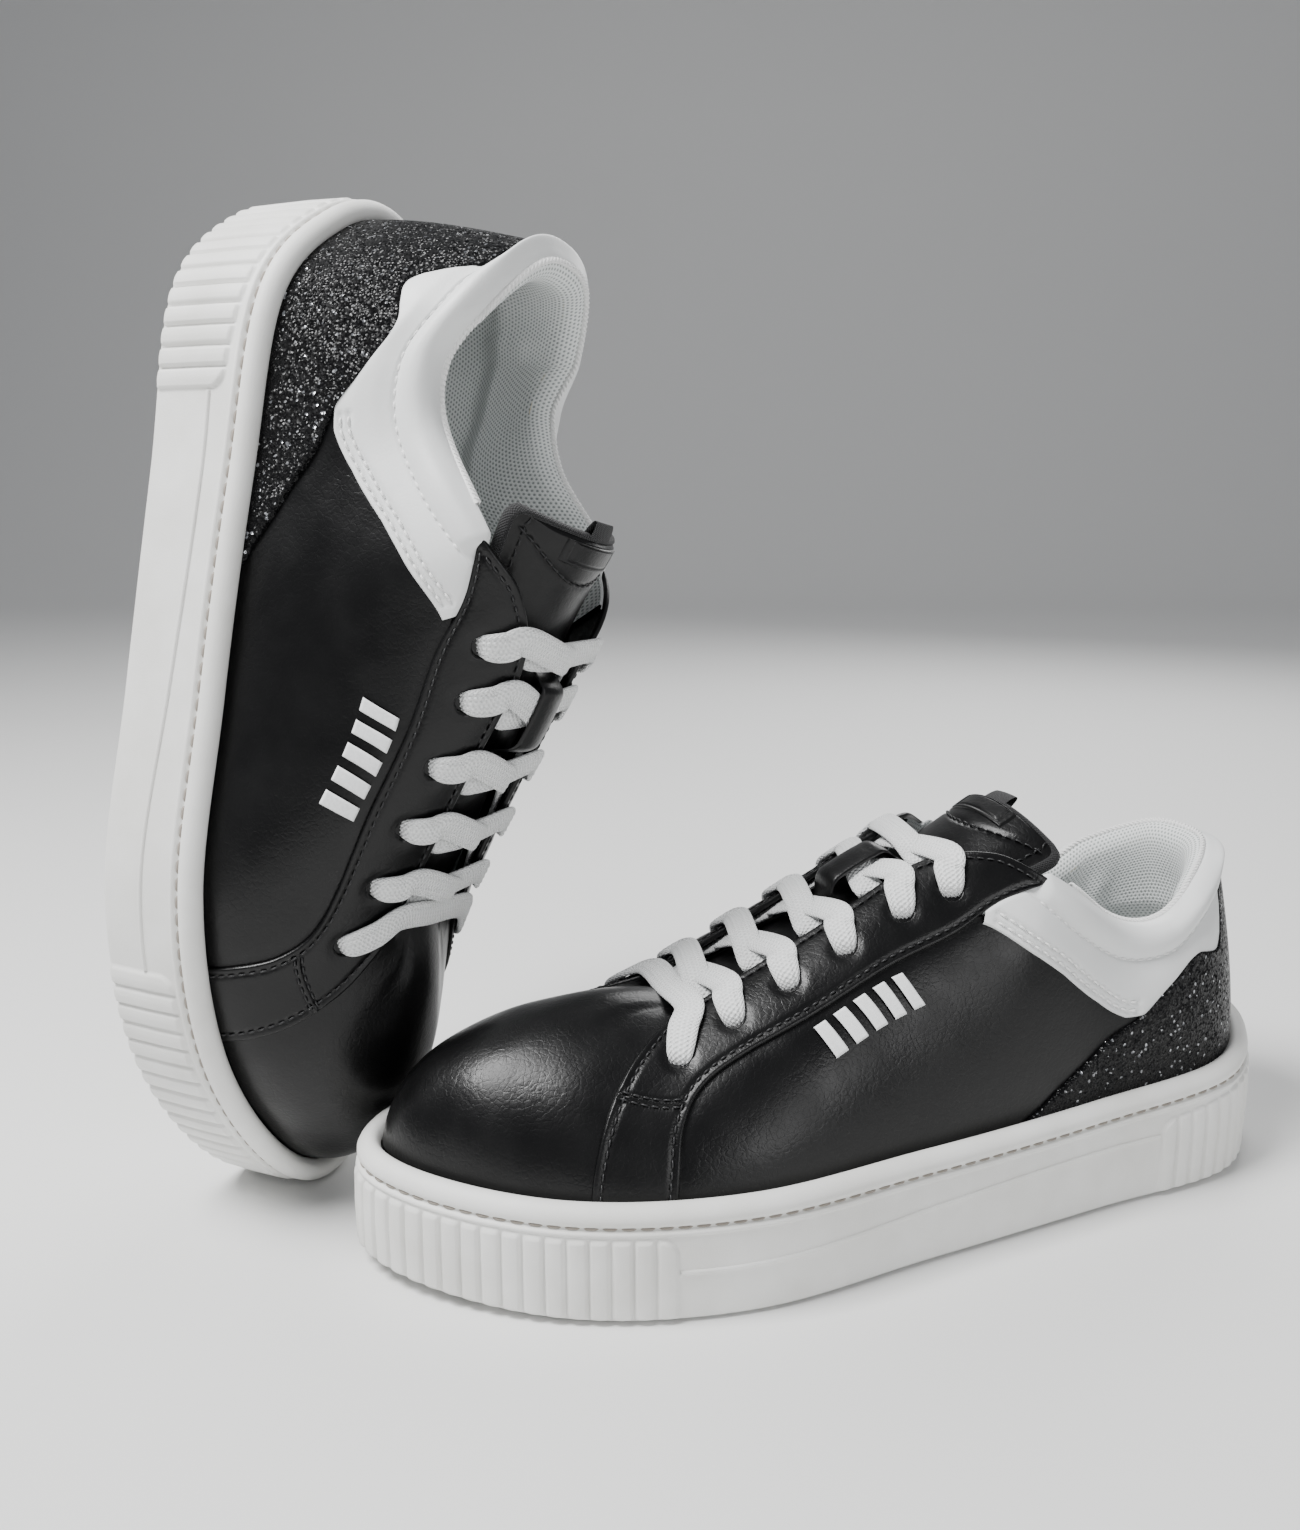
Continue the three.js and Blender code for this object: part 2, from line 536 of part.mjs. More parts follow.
function lace() {
  const pieces = [];
  const addPiece = (geometry) => pieces.push(toManifold(geometry));
  for (const side of [lateral, other]) {
    for (let i = 0; i < EYELETS; i += 1) {
      const eye = eyeletFrame(side, i);
      const across = new THREE.Vector3(0, 1, 0).cross(eye.n).normalize().multiplyScalar(LACE_IN_HOLE / 2);
      const deep = eye.n.clone().cross(across).normalize().multiplyScalar(LACE_THICKNESS / 2);
      addPiece(prism([
        [eye.at(OVER_FACING + LACE_THICKNESS / 3), across, deep],
        [eye.at(-UNDER_FACING - LACE_THICKNESS / 3), across, deep],
      ]));
    }
  }
  // straight bar over the front eyelets
  const first = [lateral, other].map((side) => eyeletFrame(side, 0));
  const crest = (i, extra) => {
    const [a] = throatEdge(lateral, i, 0);
    const [b] = throatEdge(other, i, 0);
    return a.add(b).multiplyScalar(0.5).addScaledVector(UP, extra);
  };
  const barEdges = [lateral, other].map((side) => throatEdge(side, 0, OVER_THROAT));
  addPiece(strand([
    [first[0].at(OVER_FACING), first[0].n, LACE_WIDTH * 0.8],
    [barEdges[0][0], barEdges[0][1], LACE_WIDTH],
    [crest(0, 3), UP, LACE_WIDTH],
    [barEdges[1][0], barEdges[1][1], LACE_WIDTH],
    [first[1].at(OVER_FACING), first[1].n, LACE_WIDTH * 0.8],
  ]));
  // crossing strands: out from under one facing, over the tongue and down the next eyelet opposite
  for (const [from, to, lift] of [[lateral, other, 1], [other, lateral, 0]]) {
    for (let i = 0; i + 1 < EYELETS; i += 1) {
      const start = eyeletFrame(from, i);
      const end = eyeletFrame(to, i + 1);
      const under = throatEdge(from, i, -UNDER_THROAT);
      const over = throatEdge(to, i + 1, OVER_THROAT);
      const middle = crest(i, 0).add(crest(i + 1, 0)).multiplyScalar(0.5);
      addPiece(strand([
        [start.at(-UNDER_FACING), start.n, LACE_IN_HOLE],
        [under[0], under[1], LACE_WIDTH],
        [middle.addScaledVector(UP, 1.4 + lift * (LACE_THICKNESS + 0.1)), UP, LACE_WIDTH],
        [over[0], over[1], LACE_WIDTH],
        [end.at(OVER_FACING), end.n, LACE_WIDTH * 0.8],
      ]));
    }
  }
  const whole = pieces.reduce((sum, piece) => sum.add(piece));
  return fromManifold(whole);
}
function eyestay(side) {
  let solid = toManifold(outward(eyestayBlank(side)));
  for (let i = 0; i < EYELETS; i += 1) {
    const eye = eyeletFrame(side, i);
    const hole = new THREE.CylinderGeometry(EYELET_RADIUS, EYELET_RADIUS, 6 * LEATHER, 7);
    hole.applyQuaternion(new THREE.Quaternion().setFromUnitVectors(new THREE.Vector3(0, 1, 0), eye.n));
    const c = eye.at(-LEATHER / 2);
    hole.translate(c.x, c.y, c.z);
    solid = solid.subtract(toManifold(hole));
  }
  return fromManifold(solid);
}
// leather strap along the tongue that keeps the lace centred; the lace passes under its arch
const KEEPER_SPAN = 8.8;          // half the arch, between the neighbouring crossings
const KEEPER = {
  at: 0.577,
  width: 5,
  thickness: 1,
  // distance along the tongue and height over it
  arch: [
    [-KEEPER_SPAN - 4.6, -1.6], [-KEEPER_SPAN - 2.2, -4], [-KEEPER_SPAN, -9.5], [0, -9.9],
    [KEEPER_SPAN, -9.5], [KEEPER_SPAN + 2.2, -4], [KEEPER_SPAN + 4.6, -1.6],
  ],
};
function laceKeeper() {
  const knots = KEEPER.arch.map((_, i) => i / (KEEPER.arch.length - 1));
  const probe = 0.05;
  const [before, after] = [KEEPER.at - probe, KEEPER.at + probe].map((s) => tonguePoint(s, 0, 0));
  const perStep = before.distanceTo(after) / (2 * probe);
  const place = (extra) => (a, b) => {
    const along = spline(knots, KEEPER.arch.map((p) => p[0]), a) * (1 - extra / 12);
    const depth = spline(knots, KEEPER.arch.map((p) => p[1]), a);
    const across = ((b - 0.5) * KEEPER.width) / tongueValue(2, KEEPER.at);
    return tonguePoint(KEEPER.at + along / perStep, across, depth + extra);
  };
  return shell(place(0), place(KEEPER.thickness), 2 * (KEEPER.arch.length - 1), 1);
}

// ---------------------------------------------------------------- one shoe
const BLACK = { color: 0x0b0b0c, roughness: 0.42, metalness: 0 };
const WHITE = { color: 0xe9e9e4, roughness: 0.5, metalness: 0 };
const RUBBER = { color: 0xe6e4de, roughness: 0.7, metalness: 0 };
const MESH = { color: 0xd5dad6, roughness: 0.9, metalness: 0 };
const GLITTER = { color: 0x0a0a0a, roughness: 0.3, metalness: 0.2 };
const FOAM_LOOK = { color: 0xd8cfa8, roughness: 0.95, metalness: 0 };
const BOARD_LOOK = { color: 0xb9a98a, roughness: 0.9, metalness: 0 };
const LACE_LOOK = { color: 0xf0f0ec, roughness: 0.85, metalness: 0 };

const PIECES = [
  ['outsole_tread', tread, RUBBER],
  ['cup_sole', cupSole, RUBBER],
  ['midsole_filler', filler, FOAM_LOOK],
  ['insole_board', insoleBoard, BOARD_LOOK],
  ['sockliner', sockliner, MESH],
  ['vamp', vamp, BLACK],
  ['toe_puff', toePuff, BOARD_LOOK],
  ['vamp_lining', vampLining, MESH],
  ['quarter_lateral', () => quarter(lateral), BLACK],
  ['quarter_medial', () => quarter(other), BLACK],
  ['quarter_lining_lateral', () => quarterLining(lateral), MESH],
  ['quarter_lining_medial', () => quarterLining(other), MESH],
  ['eyestay_lateral', () => eyestay(lateral), BLACK],
  ['eyestay_medial', () => eyestay(other), BLACK],
  ['collar_panel_lateral', () => collarPanel(lateral), WHITE],
  ['collar_panel_medial', () => collarPanel(other), WHITE],
  ['heel_overlay', heelOverlay, GLITTER],
  ['heel_stiffener', heelStiffener, BOARD_LOOK],
  ['collar_foam', collarFoam, FOAM_LOOK],
  ['collar_lining', collarLining, MESH],
  ['tongue_leather', tongueLeather, BLACK],
  ['tongue_foam', tongueFoam, FOAM_LOOK],
  ['tongue_lining', tongueLining, MESH],
  ['tongue_patch', tonguePatch, BLACK],
  ['lace_keeper', laceKeeper, BLACK],
  ['lace', lace, LACE_LOOK],
  ['emblem', emblem, WHITE],
];
const geometries = PIECES.map(([, make]) => outward(make()));
function shoe(prefix) {
  const group = new THREE.Group();
  PIECES.forEach(([name, , look], i) => {
    const mesh = new THREE.Mesh(geometries[i], new THREE.MeshStandardMaterial(look));
    mesh.name = `${prefix}_${name}`;
    group.add(mesh);
  });
  return group;
}

// ---------------------------------------------------------------- the pair
const left = shoe('left');
left.rotation.z = THREE.MathUtils.degToRad(LEFT_TURN);

const turn = THREE.MathUtils.degToRad(RIGHT_TURN);
const lean = THREE.MathUtils.degToRad(RIGHT_LEAN);
const faceTo = new THREE.Vector3(Math.cos(turn), Math.sin(turn), 0);
const sideways = new THREE.Vector3(Math.sin(turn), -Math.cos(turn), 0);
const toeDown = new THREE.Vector3(0, 0, -Math.cos(lean)).addScaledVector(sideways, Math.sin(lean));
const inward = new THREE.Vector3(0, 0, -Math.sin(lean)).addScaledVector(sideways, -Math.cos(lean));
const right = new THREE.Group();
const rightMirror = shoe('right');
rightMirror.scale.y = -1;
right.add(rightMirror);
right.quaternion.setFromRotationMatrix(new THREE.Matrix4().makeBasis(toeDown, inward, faceTo));
const leftToe = new THREE.Vector3(SHOE_LENGTH, 0, 0).applyEuler(left.rotation);
const rightToe = leftToe.add(new THREE.Vector3(TOE_TO_TOE[0], TOE_TO_TOE[1], 0));
right.position.copy(rightToe).addScaledVector(toeDown, -SHOE_LENGTH).setZ(0);
right.updateMatrixWorld(true);
right.position.z = -new THREE.Box3().setFromObject(right, true).min.z;

// the origin is the middle of the pair's ground plan
const pair = new THREE.Group();
pair.add(left, right);
pair.updateMatrixWorld(true);
const bounds = new THREE.Box3().setFromObject(pair, true);
const middle = bounds.getCenter(new THREE.Vector3());
const group = new THREE.Group();
pair.position.set(-middle.x, -middle.y, -bounds.min.z);
group.add(pair);

export default group;
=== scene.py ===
import math

import bpy
import numpy as np
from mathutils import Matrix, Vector


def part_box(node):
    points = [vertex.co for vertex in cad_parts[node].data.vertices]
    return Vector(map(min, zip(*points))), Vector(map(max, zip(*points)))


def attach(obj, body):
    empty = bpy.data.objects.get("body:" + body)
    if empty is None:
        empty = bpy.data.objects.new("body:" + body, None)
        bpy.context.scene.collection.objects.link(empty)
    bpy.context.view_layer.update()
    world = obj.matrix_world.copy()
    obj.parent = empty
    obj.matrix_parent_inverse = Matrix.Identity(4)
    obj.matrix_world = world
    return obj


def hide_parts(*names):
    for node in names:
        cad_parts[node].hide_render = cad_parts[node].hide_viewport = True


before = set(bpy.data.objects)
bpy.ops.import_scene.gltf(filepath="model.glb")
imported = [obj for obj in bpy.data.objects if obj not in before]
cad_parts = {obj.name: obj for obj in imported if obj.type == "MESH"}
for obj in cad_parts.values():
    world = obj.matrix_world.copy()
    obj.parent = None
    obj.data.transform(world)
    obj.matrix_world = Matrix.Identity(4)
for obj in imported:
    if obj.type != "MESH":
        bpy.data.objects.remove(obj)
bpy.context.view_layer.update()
MM = 0.001

# ---- shape of one shoe, in millimetres
# x runs from heel to toe, y to the lateral side, z up
# station u is 0 at the heel, 8 at the toe and 16 at the heel again
STATIONS = 16
TOE = 8
BALL_RIM = 29.5
HEEL_RIM = 37
LENGTH = 269
OUTLINE = np.array([
    [0, 0, 0], [8, 21, -20], [32, 40.5, -37.5], [78, 44.6, -36.5], [133, 49, -39],
    [183, 52.5, -46], [226, 41.3, -42], [257, 18.5, -27], [269, -5, -5],
], float)
# opening of the upper: station, x, half width, z, rise of the wall, length and slope of the roll-over
OPENING = np.array([
    [0, 17, 0, 90, 22, 14, 78], [1, 21, 14, 88.5, 22, 14, 78], [2, 37, 26, 81, 22, 18, 72],
    [2.45, 50, 29, 74, 20, 22, 64], [2.9, 66, 29.5, 75.5, 20, 24, 62], [3.45, 90.5, 30, 91.5, 26, 22, 60],
    [3.8, 103, 22, 97.5, 28, 21, 48], [4.3, 120, 13, 94, 26, 22, 30], [4.75, 146, 12.5, 81, 22, 19, 24],
    [5.2, 170, 12.5, 69.5, 18, 18, 22], [5.6, 188, 13, 61.5, 15, 18, 18], [6.3, 201, 10.5, 61, 19, 23, 12],
    [7.1, 206, 6, 63, 24, 29, 8], [8, 208, 0, 64, 24, 30, 7],
], float)
RIM_INSET = 6.7
TUCK = 5
MIRROR_SIGNS = np.array([1, 1, -1, 1, 1, 1, 1], float)


def spline(knots, values, s):
    """Cubic through knots with finite-difference tangents; values may have several columns."""
    knots = np.asarray(knots, float)
    values = np.asarray(values, float)
    s = np.asarray(s, float)
    last = len(knots) - 1
    lo = np.maximum(np.arange(last + 1) - 1, 0)
    hi = np.minimum(np.arange(last + 1) + 1, last)
    gaps = knots[hi] - knots[lo]
    slope = (values[hi] - values[lo]) / (gaps if values.ndim == 1 else gaps[:, None])
    i = np.clip(np.searchsorted(knots, s) - 1, 0, last - 1)
    h = knots[i + 1] - knots[i]
    t = (s - knots[i]) / h
    if values.ndim > 1:
        h = h[..., None]
        t = t[..., None]
    return (
        (2 * t**3 - 3 * t**2 + 1) * values[i]
        + (t**3 - 2 * t**2 + t) * h * slope[i]
        + (3 * t**2 - 2 * t**3) * values[i + 1]
        + (t**3 - t**2) * h * slope[i + 1]
    )


def through(points, a):
    points = np.asarray(points, float)
    return spline(np.linspace(0, 1, len(points)), points, a)


def unit(v):
    return v / np.maximum(np.linalg.norm(v, axis=-1, keepdims=True), 1e-9)


def run_length(p, axis=0):
    """Length along a path, or along one axis of a grid of points, from 0."""
    step = np.linalg.norm(np.diff(p, axis=axis), axis=-1)
    return np.insert(np.cumsum(step, axis), 0, 0, axis)


def smooth(a, b, x):
    t = np.clip((np.asarray(x, float) - a) / (b - a), 0, 1)
    return t * t * (3 - 2 * t)


outline_knots = np.arange(-2, STATIONS + 3)
station = outline_knots % STATIONS
near = np.minimum(station, STATIONS - station)
outline_rows = np.stack([OUTLINE[near, 0], OUTLINE[near, np.where(station <= TOE, 1, 2)]], 1)
mirrored = OPENING[1:-1][::-1] * MIRROR_SIGNS
mirrored[:, 0] = STATIONS - mirrored[:, 0]
wrap = np.array([OPENING[1] * MIRROR_SIGNS, OPENING[0], OPENING[1]])
wrap[:, 0] = -1, STATIONS, STATIONS + 1
opening_rows = np.vstack([wrap[:1], OPENING, mirrored, wrap[1:]])


def outline(u):
    return spline(outline_knots, outline_rows, np.mod(u, STATIONS))


def inset(u, distance):
    d = unit(outline(u + 0.05) - outline(u - 0.05))
    p = outline(u)
    return np.stack([p[..., 0] + d[..., 1] * distance, p[..., 1] - d[..., 0] * distance], -1)


def spring(x):
    f = np.maximum(0, (x - 0.78 * LENGTH) / (0.22 * LENGTH))
    return 3.5 * f * f


def rim(x):
    f = np.clip(1 - x / (0.5 * LENGTH), 0, 1)
    return BALL_RIM + (HEEL_RIM - BALL_RIM) * f * f + 0.6 * spring(x)


def upper(u, t):
    """The upper's outer face: t is 0 where it goes down into the sole and 1 at the opening."""
    u, t = np.broadcast_arrays(np.asarray(u, float), np.asarray(t, float))
    base = inset(u, RIM_INSET)
    rows = spline(opening_rows[:, 0], opening_rows[:, 1:], np.mod(u, STATIONS))
    top = rows[..., :3]
    out = unit(base - top[..., :2])
    slope = np.radians(rows[..., 5])[..., None]
    crown = rows[..., 4][..., None]
    z0 = rim(base[..., 0]) - TUCK
    a = np.concatenate([base, z0[..., None]], -1)
    b = np.concatenate([base, (z0 + rows[..., 3])[..., None]], -1)
    c = np.concatenate([top[..., :2] + out * crown * np.cos(slope), top[..., 2:] - crown * np.sin(slope)], -1)
    t = t[..., None]
    s = 1 - t
    return s**3 * a + 3 * s * s * t * b + 3 * s * t * t * c + t**3 * top


def upper_normal(u, t):
    e = 0.02
    t = np.asarray(t, float)
    du = upper(u + e, t) - upper(u - e, t)
    dt = upper(u, np.minimum(1, t + e)) - upper(u, np.maximum(0, t - e))
    return unit(np.cross(dt, du))


def upper_at(u, t, offset):
    u, t, offset = np.broadcast_arrays(*(np.asarray(v, float) for v in (u, t, offset)))
    return upper(u, t) + upper_normal(u, t) * offset[..., None]


# ---- meshes
def add_object(name, data):
    made = bpy.data.objects.new(name, data)
    bpy.context.scene.collection.objects.link(made)
    return made


class Shoe:
    """Where one shoe stands: its local millimetres become metres in the row frame."""

    def __init__(self, side, x_axis, y_axis, z_axis):
        self.side = side
        self.turn = np.array([x_axis, y_axis, z_axis], float).T
        u = np.linspace(0, STATIONS, 37)
        ring = inset(u, 1.5)
        tread = np.vstack([np.column_stack([ring, spring(ring[:, 0]) + high]) for high in (0, 4)])
        both = tread @ self.turn.T * MM
        self.origin = np.array(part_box(side + "_outsole_tread")[0]) - both.min(0)
        self.flip = np.linalg.det(self.turn) < 0

    def world(self, points):
        return np.asarray(points) @ self.turn.T * MM + self.origin


class Piece:
    """Collects the grids of one visible piece, then makes its mesh."""

    def __init__(self, shoe, name):
        self.shoe = shoe
        self.name = name
        self.points = []
        self.quads = []
        self.uvs = []
        self.count = 0

    def grid(self, p, out=None, close_a=False, close_b=False, uv=None):
        """p[a, b] are points; out tells which way the faces look."""
        n, m = p.shape[:2]
        ids = np.arange(n * m).reshape(n, m)
        i = np.arange(n if close_a else n - 1)
        j = np.arange(m if close_b else m - 1)
        i2 = (i + 1) % n
        j2 = (j + 1) % m
        quads = np.stack([
            ids[np.ix_(i, j)], ids[np.ix_(i2, j)], ids[np.ix_(i2, j2)], ids[np.ix_(i, j2)],
        ], -1).reshape(-1, 4)
        if uv is None:
            along, across = run_length(p).mean(1), run_length(p, 1).mean(0)
            uv = np.stack(np.broadcast_arrays(along[:, None], across[None]), -1)
        flat = p.reshape(-1, 3)
        if out is not None:
            q = flat[quads]
            normal = np.cross(q[:, 2] - q[:, 0], q[:, 3] - q[:, 1])
            wanted = np.broadcast_to(out, p.shape).reshape(-1, 3)[quads[:, 0]]
            if (normal * wanted).sum() < 0:
                quads = quads[:, ::-1]
        self.points.append(flat)
        self.uvs.append(uv.reshape(-1, 2))
        self.quads.append(quads + self.count)
        self.count += len(flat)
        return self

    def make(self, material, slot, body, *replaced):
        points = self.shoe.world(np.vstack(self.points)).astype(np.float32)
        quads = np.vstack(self.quads)
        if self.shoe.flip:
            quads = quads[:, ::-1]
        uv = np.vstack(self.uvs)[quads.ravel()]
        mesh = bpy.data.meshes.new(self.name)
        mesh.vertices.add(len(points))
        mesh.vertices.foreach_set("co", points.ravel())
        mesh.loops.add(quads.size)
        mesh.loops.foreach_set("vertex_index", quads.ravel().astype(np.int32))
        mesh.polygons.add(len(quads))
        mesh.polygons.foreach_set("loop_start", np.arange(0, quads.size, 4, dtype=np.int32))
        mesh.polygons.foreach_set("use_smooth", np.ones(len(quads), bool))
        mesh.uv_layers.new(name="UVMap")
        mesh.update(calc_edges=True)
        mesh.uv_layers[0].data.foreach_set("uv", uv.astype(np.float32).ravel())
        mesh.validate()
        mesh.materials.append(material)
        obj = add_object(f"{self.shoe.side}_{self.name}_look", mesh)
        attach(obj, f"{self.shoe.side}_{body}")
        if replaced:
            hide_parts(*(f"{self.shoe.side}_{n}" for n in replaced))
        return obj


def frames_along(path, normal):
    """Side and normal of each point of a path."""
    tangent = unit(np.gradient(path, axis=0))
    side = unit(np.cross(tangent, normal))
    return side, unit(np.cross(side, tangent))


def resample(path, spacing):
    """Places a fixed distance apart along a path, as fractions of its index."""
    s = run_length(path)
    count = max(2, int(round(s[-1] / spacing)) + 1)
    at = np.linspace(0, s[-1], count)
    return np.interp(at, s, np.arange(len(path)))


def sample(values, where):
    i = np.clip(where.astype(int), 0, len(values) - 2)
    f = (where - i)[:, None]
    return values[i] * (1 - f) + values[i + 1] * f


def dent(p, n, path, width, depth):
    """Presses a line into a grid of points; depth may be negative for a ridge."""
    path = sample(path, resample(path, 0.8))
    flat = p.reshape(-1, 3)
    near = np.full(len(flat), 1e9)
    for part in np.array_split(path, max(1, len(path) // 60)):
        near = np.minimum(near, ((flat[:, None] - part[None]) ** 2).sum(-1).min(1))
    return p - n * (depth * np.exp(-near / width**2)).reshape(p.shape[:2])[..., None]


def stitches(piece, path, normal, pitch=3.1, length=2.5, radius=0.3, rise=0.12, slant=0.0):
    """One row of thread stitches: each dives into the leather at both ends."""
    where = resample(path, pitch)
    where = (where[:-1] + where[1:]) / 2
    centre = sample(path, where)
    n = unit(sample(normal, where))
    tangent = unit(sample(np.gradient(path, axis=0), where))
    side = unit(np.cross(tangent, n))
    tangent = unit(tangent + slant * side)
    side = unit(np.cross(tangent, n))
    steps = np.linspace(-1, 1, 6)
    around = np.linspace(0, 2 * math.pi, 6, endpoint=False)
    for c, t, s, m in zip(centre, tangent, side, n):
        spine = c + np.outer(steps * length / 2, t) + np.outer(rise - 0.55 * steps**4, m)
        r = radius * (1 - 0.35 * steps**4)
        ring = np.cos(around)[None, :, None] * s + np.sin(around)[None, :, None] * m
        piece.grid(spine[:, None] + ring * r[:, None, None], close_b=True, out=ring)


def tube(piece, path, normal, radius, around=8, squash=1.0):
    side, n = frames_along(path, normal)
    angle = np.linspace(0, 2 * math.pi, around, endpoint=False)
    ring = np.cos(angle)[None, :, None] * side[:, None] + squash * np.sin(angle)[None, :, None] * n[:, None]
    piece.grid(path[:, None] + ring * radius, close_b=True, out=ring)


def faces_of(p):
    """Direction square to a grid of points at each of them."""
    return np.cross(np.gradient(p, axis=0), np.gradient(p, axis=1))


def slab(piece, top, under, n, under_n):
    """Sheet with a real thickness: its face and its underside joined at both long edges."""
    piece.grid(np.concatenate([top, under], 1), out=np.concatenate([n, -under_n], 1), close_b=True)


def edge_drop(distance, radius):
    """How far a rounded edge falls at a distance from the edge."""
    d = np.clip(distance / radius, 0, 1)
    return radius * (1 - np.sqrt(1 - (1 - d) ** 2))


def leather(piece, lower, upper_edge, columns, rows, lift, thick, dents=(), radius=0.8, pits=()):
    """Leather panel between two (u, t) lines, with rounded edges and a real thickness."""
    a = np.linspace(0, 1, columns)
    b = np.linspace(0, 1, rows)
    low = through(lower, a)[:, None]
    high = through(upper_edge, a)[:, None]
    uv = low + (high - low) * b[None, :, None]
    u, t = uv[..., 0], np.clip(uv[..., 1], 0, 1)
    flat = upper(u, t)
    n = upper_normal(u, t)
    across = run_length(flat, 1)
    along = run_length(flat, 0)
    to_edge = np.minimum(across, across[:, -1:] - across)
    to_end = np.minimum(along, along[-1:] - along)
    height = lift - edge_drop(to_edge, radius) - edge_drop(to_end, radius)
    height = np.maximum(height, lift - thick / 2)
    p = flat + n * height[..., None]
    for path, width, depth in dents:
        p = dent(p, n, path, width, depth)
    for centre, size in pits:
        d = np.linalg.norm(flat - centre, axis=-1)
        p = p - n * (3.2 * (1 - smooth(size * 0.72, size, d)))[..., None]
        p = p - n * (0.35 * np.exp(-(((d - size) / 1.5) ** 2)))[..., None]
    inner_rows = np.linspace(rows - 1, 0, 7).round().astype(int)
    under = flat[:, inner_rows] + n[:, inner_rows] * (lift - thick)
    slab(piece, p, under, n, n[:, inner_rows])


def line_on(points, lift, count=260):
    """Path along (u, t) points on the upper with its normals."""
    uv = through(points, np.linspace(0, 1, count))
    u, t = uv[:, 0], np.clip(uv[:, 1], 0, 1)
    return upper_at(u, t, lift), upper_normal(u, t)


# ---- materials
def new_material(name, color, roughness, **settings):
    material = bpy.data.materials.new(name)
    material.use_nodes = True
    tree = material.node_tree
    shader = tree.nodes["Principled BSDF"]
    shader.inputs["Base Color"].default_value = (*color, 1)
    shader.inputs["Roughness"].default_value = roughness
    for key, value in settings.items():
        shader.inputs[key.replace("_", " ")].default_value = value
    return material, tree, shader


def add(tree, kind, settings=None, **links):
    """One node; links give its sockets values or other nodes' outputs."""
    made = tree.nodes.new(kind)
    for key, value in (settings or {}).items():
        setattr(made, key, value)
    for key, value in links.items():
        numbered = key[0] == "i" and key[1:].isdigit()
        socket = made.inputs[int(key[1:]) if numbered else key.replace("_", " ")]
        if isinstance(value, bpy.types.NodeSocket):
            tree.links.new(value, socket)
        else:
            socket.default_value = value
    return made


def math_node(tree, operation, a, b=0.0):
    return add(tree, "ShaderNodeMath", {"operation": operation}, i0=a, i1=b).outputs[0]


def bump(tree, shader, layers):
    """Stacks height layers (output, strength, distance in metres) into the shader's normal."""
    last = None
    for height, strength, distance in layers:
        made = add(tree, "ShaderNodeBump", None, Height=height, Strength=strength, Distance=distance)
        if last is not None:
            tree.links.new(last.outputs["Normal"], made.inputs["Normal"])
        last = made
    tree.links.new(last.outputs["Normal"], shader.inputs["Normal"])


def mixed(tree, shader, factor, one, two, low, high, socket="Base Color"):
    """Colour or value that goes from one to two as a factor goes from low to high."""
    ramp = add(tree, "ShaderNodeMapRange", None, Value=factor, From_Min=low, From_Max=high)
    if socket == "Base Color":
        ends = {"i6": (*one, 1), "i7": (*two, 1)}
        mix = add(tree, "ShaderNodeMix", {"data_type": "RGBA"}, i0=ramp.outputs[0], **ends)
        tree.links.new(mix.outputs[2], shader.inputs[socket])
    else:
        ramp.inputs["To Min"].default_value = one
        ramp.inputs["To Max"].default_value = two
        tree.links.new(ramp.outputs[0], shader.inputs[socket])


def vector_node(tree, operation, **links):
    return add(tree, "ShaderNodeVectorMath", {"operation": operation}, **links).outputs[0]


def place(tree):
    """Position in millimetres, fixed to the piece."""
    return vector_node(tree, "SCALE", i0=add(tree, "ShaderNodeTexCoord").outputs["Object"], Scale=1000.0)


def flat_place(tree):
    """Length and width along the piece, in millimetres: together, and one by one."""
    uv = add(tree, "ShaderNodeUVMap").outputs[0]
    return uv, add(tree, "ShaderNodeSeparateXYZ", None, Vector=uv).outputs[:2]


def noise(tree, where, scale, detail=3.0, rough=0.55):
    made = add(tree, "ShaderNodeTexNoise", None, Vector=where, Scale=scale, Detail=detail, Roughness=rough)
    return made.outputs[0]


def cells(tree, where, scale, feature):
    return add(tree, "ShaderNodeTexVoronoi", {"feature": feature}, Vector=where, Scale=scale)


def leather_material(name, color, roughness, grain, depth, spread, shine=0.5):
    material, tree, shader = new_material(name, color, roughness, Specular_IOR_Level=shine)
    where = place(tree)
    drift = add(tree, "ShaderNodeTexNoise", None, Vector=where, Scale=0.5).outputs["Color"]
    moved = vector_node(tree, "ADD", i0=where, i1=vector_node(tree, "SCALE", i0=drift, Scale=1.1))
    pebble = cells(tree, moved, grain, "SMOOTH_F1").outputs["Distance"]
    crease = cells(tree, moved, grain * 0.55, "DISTANCE_TO_EDGE").outputs["Distance"]
    fine = noise(tree, where, 3.2)
    broad = noise(tree, where, 0.07, 2.0)
    mixed(tree, shader, broad, roughness - spread, roughness + spread, 0.35, 0.65, "Roughness")
    sharp = math_node(tree, "MINIMUM", crease, 0.12)
    bump(tree, shader, [
        (broad, 0.16, 0.0012), (pebble, 0.5, depth), (sharp, 0.5, depth * 3), (fine, 0.3, depth * 0.6),
    ])
    return material


def rubber_material():
    material, tree, shader = new_material("sole rubber", (0.80, 0.80, 0.775), 0.56)
    where = place(tree)
    fine = noise(tree, where, 2.4, 4.0, 0.65)
    broad = noise(tree, where, 0.05, 3.0)
    mixed(tree, shader, broad, (0.74, 0.735, 0.705), (0.84, 0.84, 0.82), 0.3, 0.7)
    bump(tree, shader, [(broad, 0.15, 0.0008), (fine, 0.55, 0.00012)])
    return material


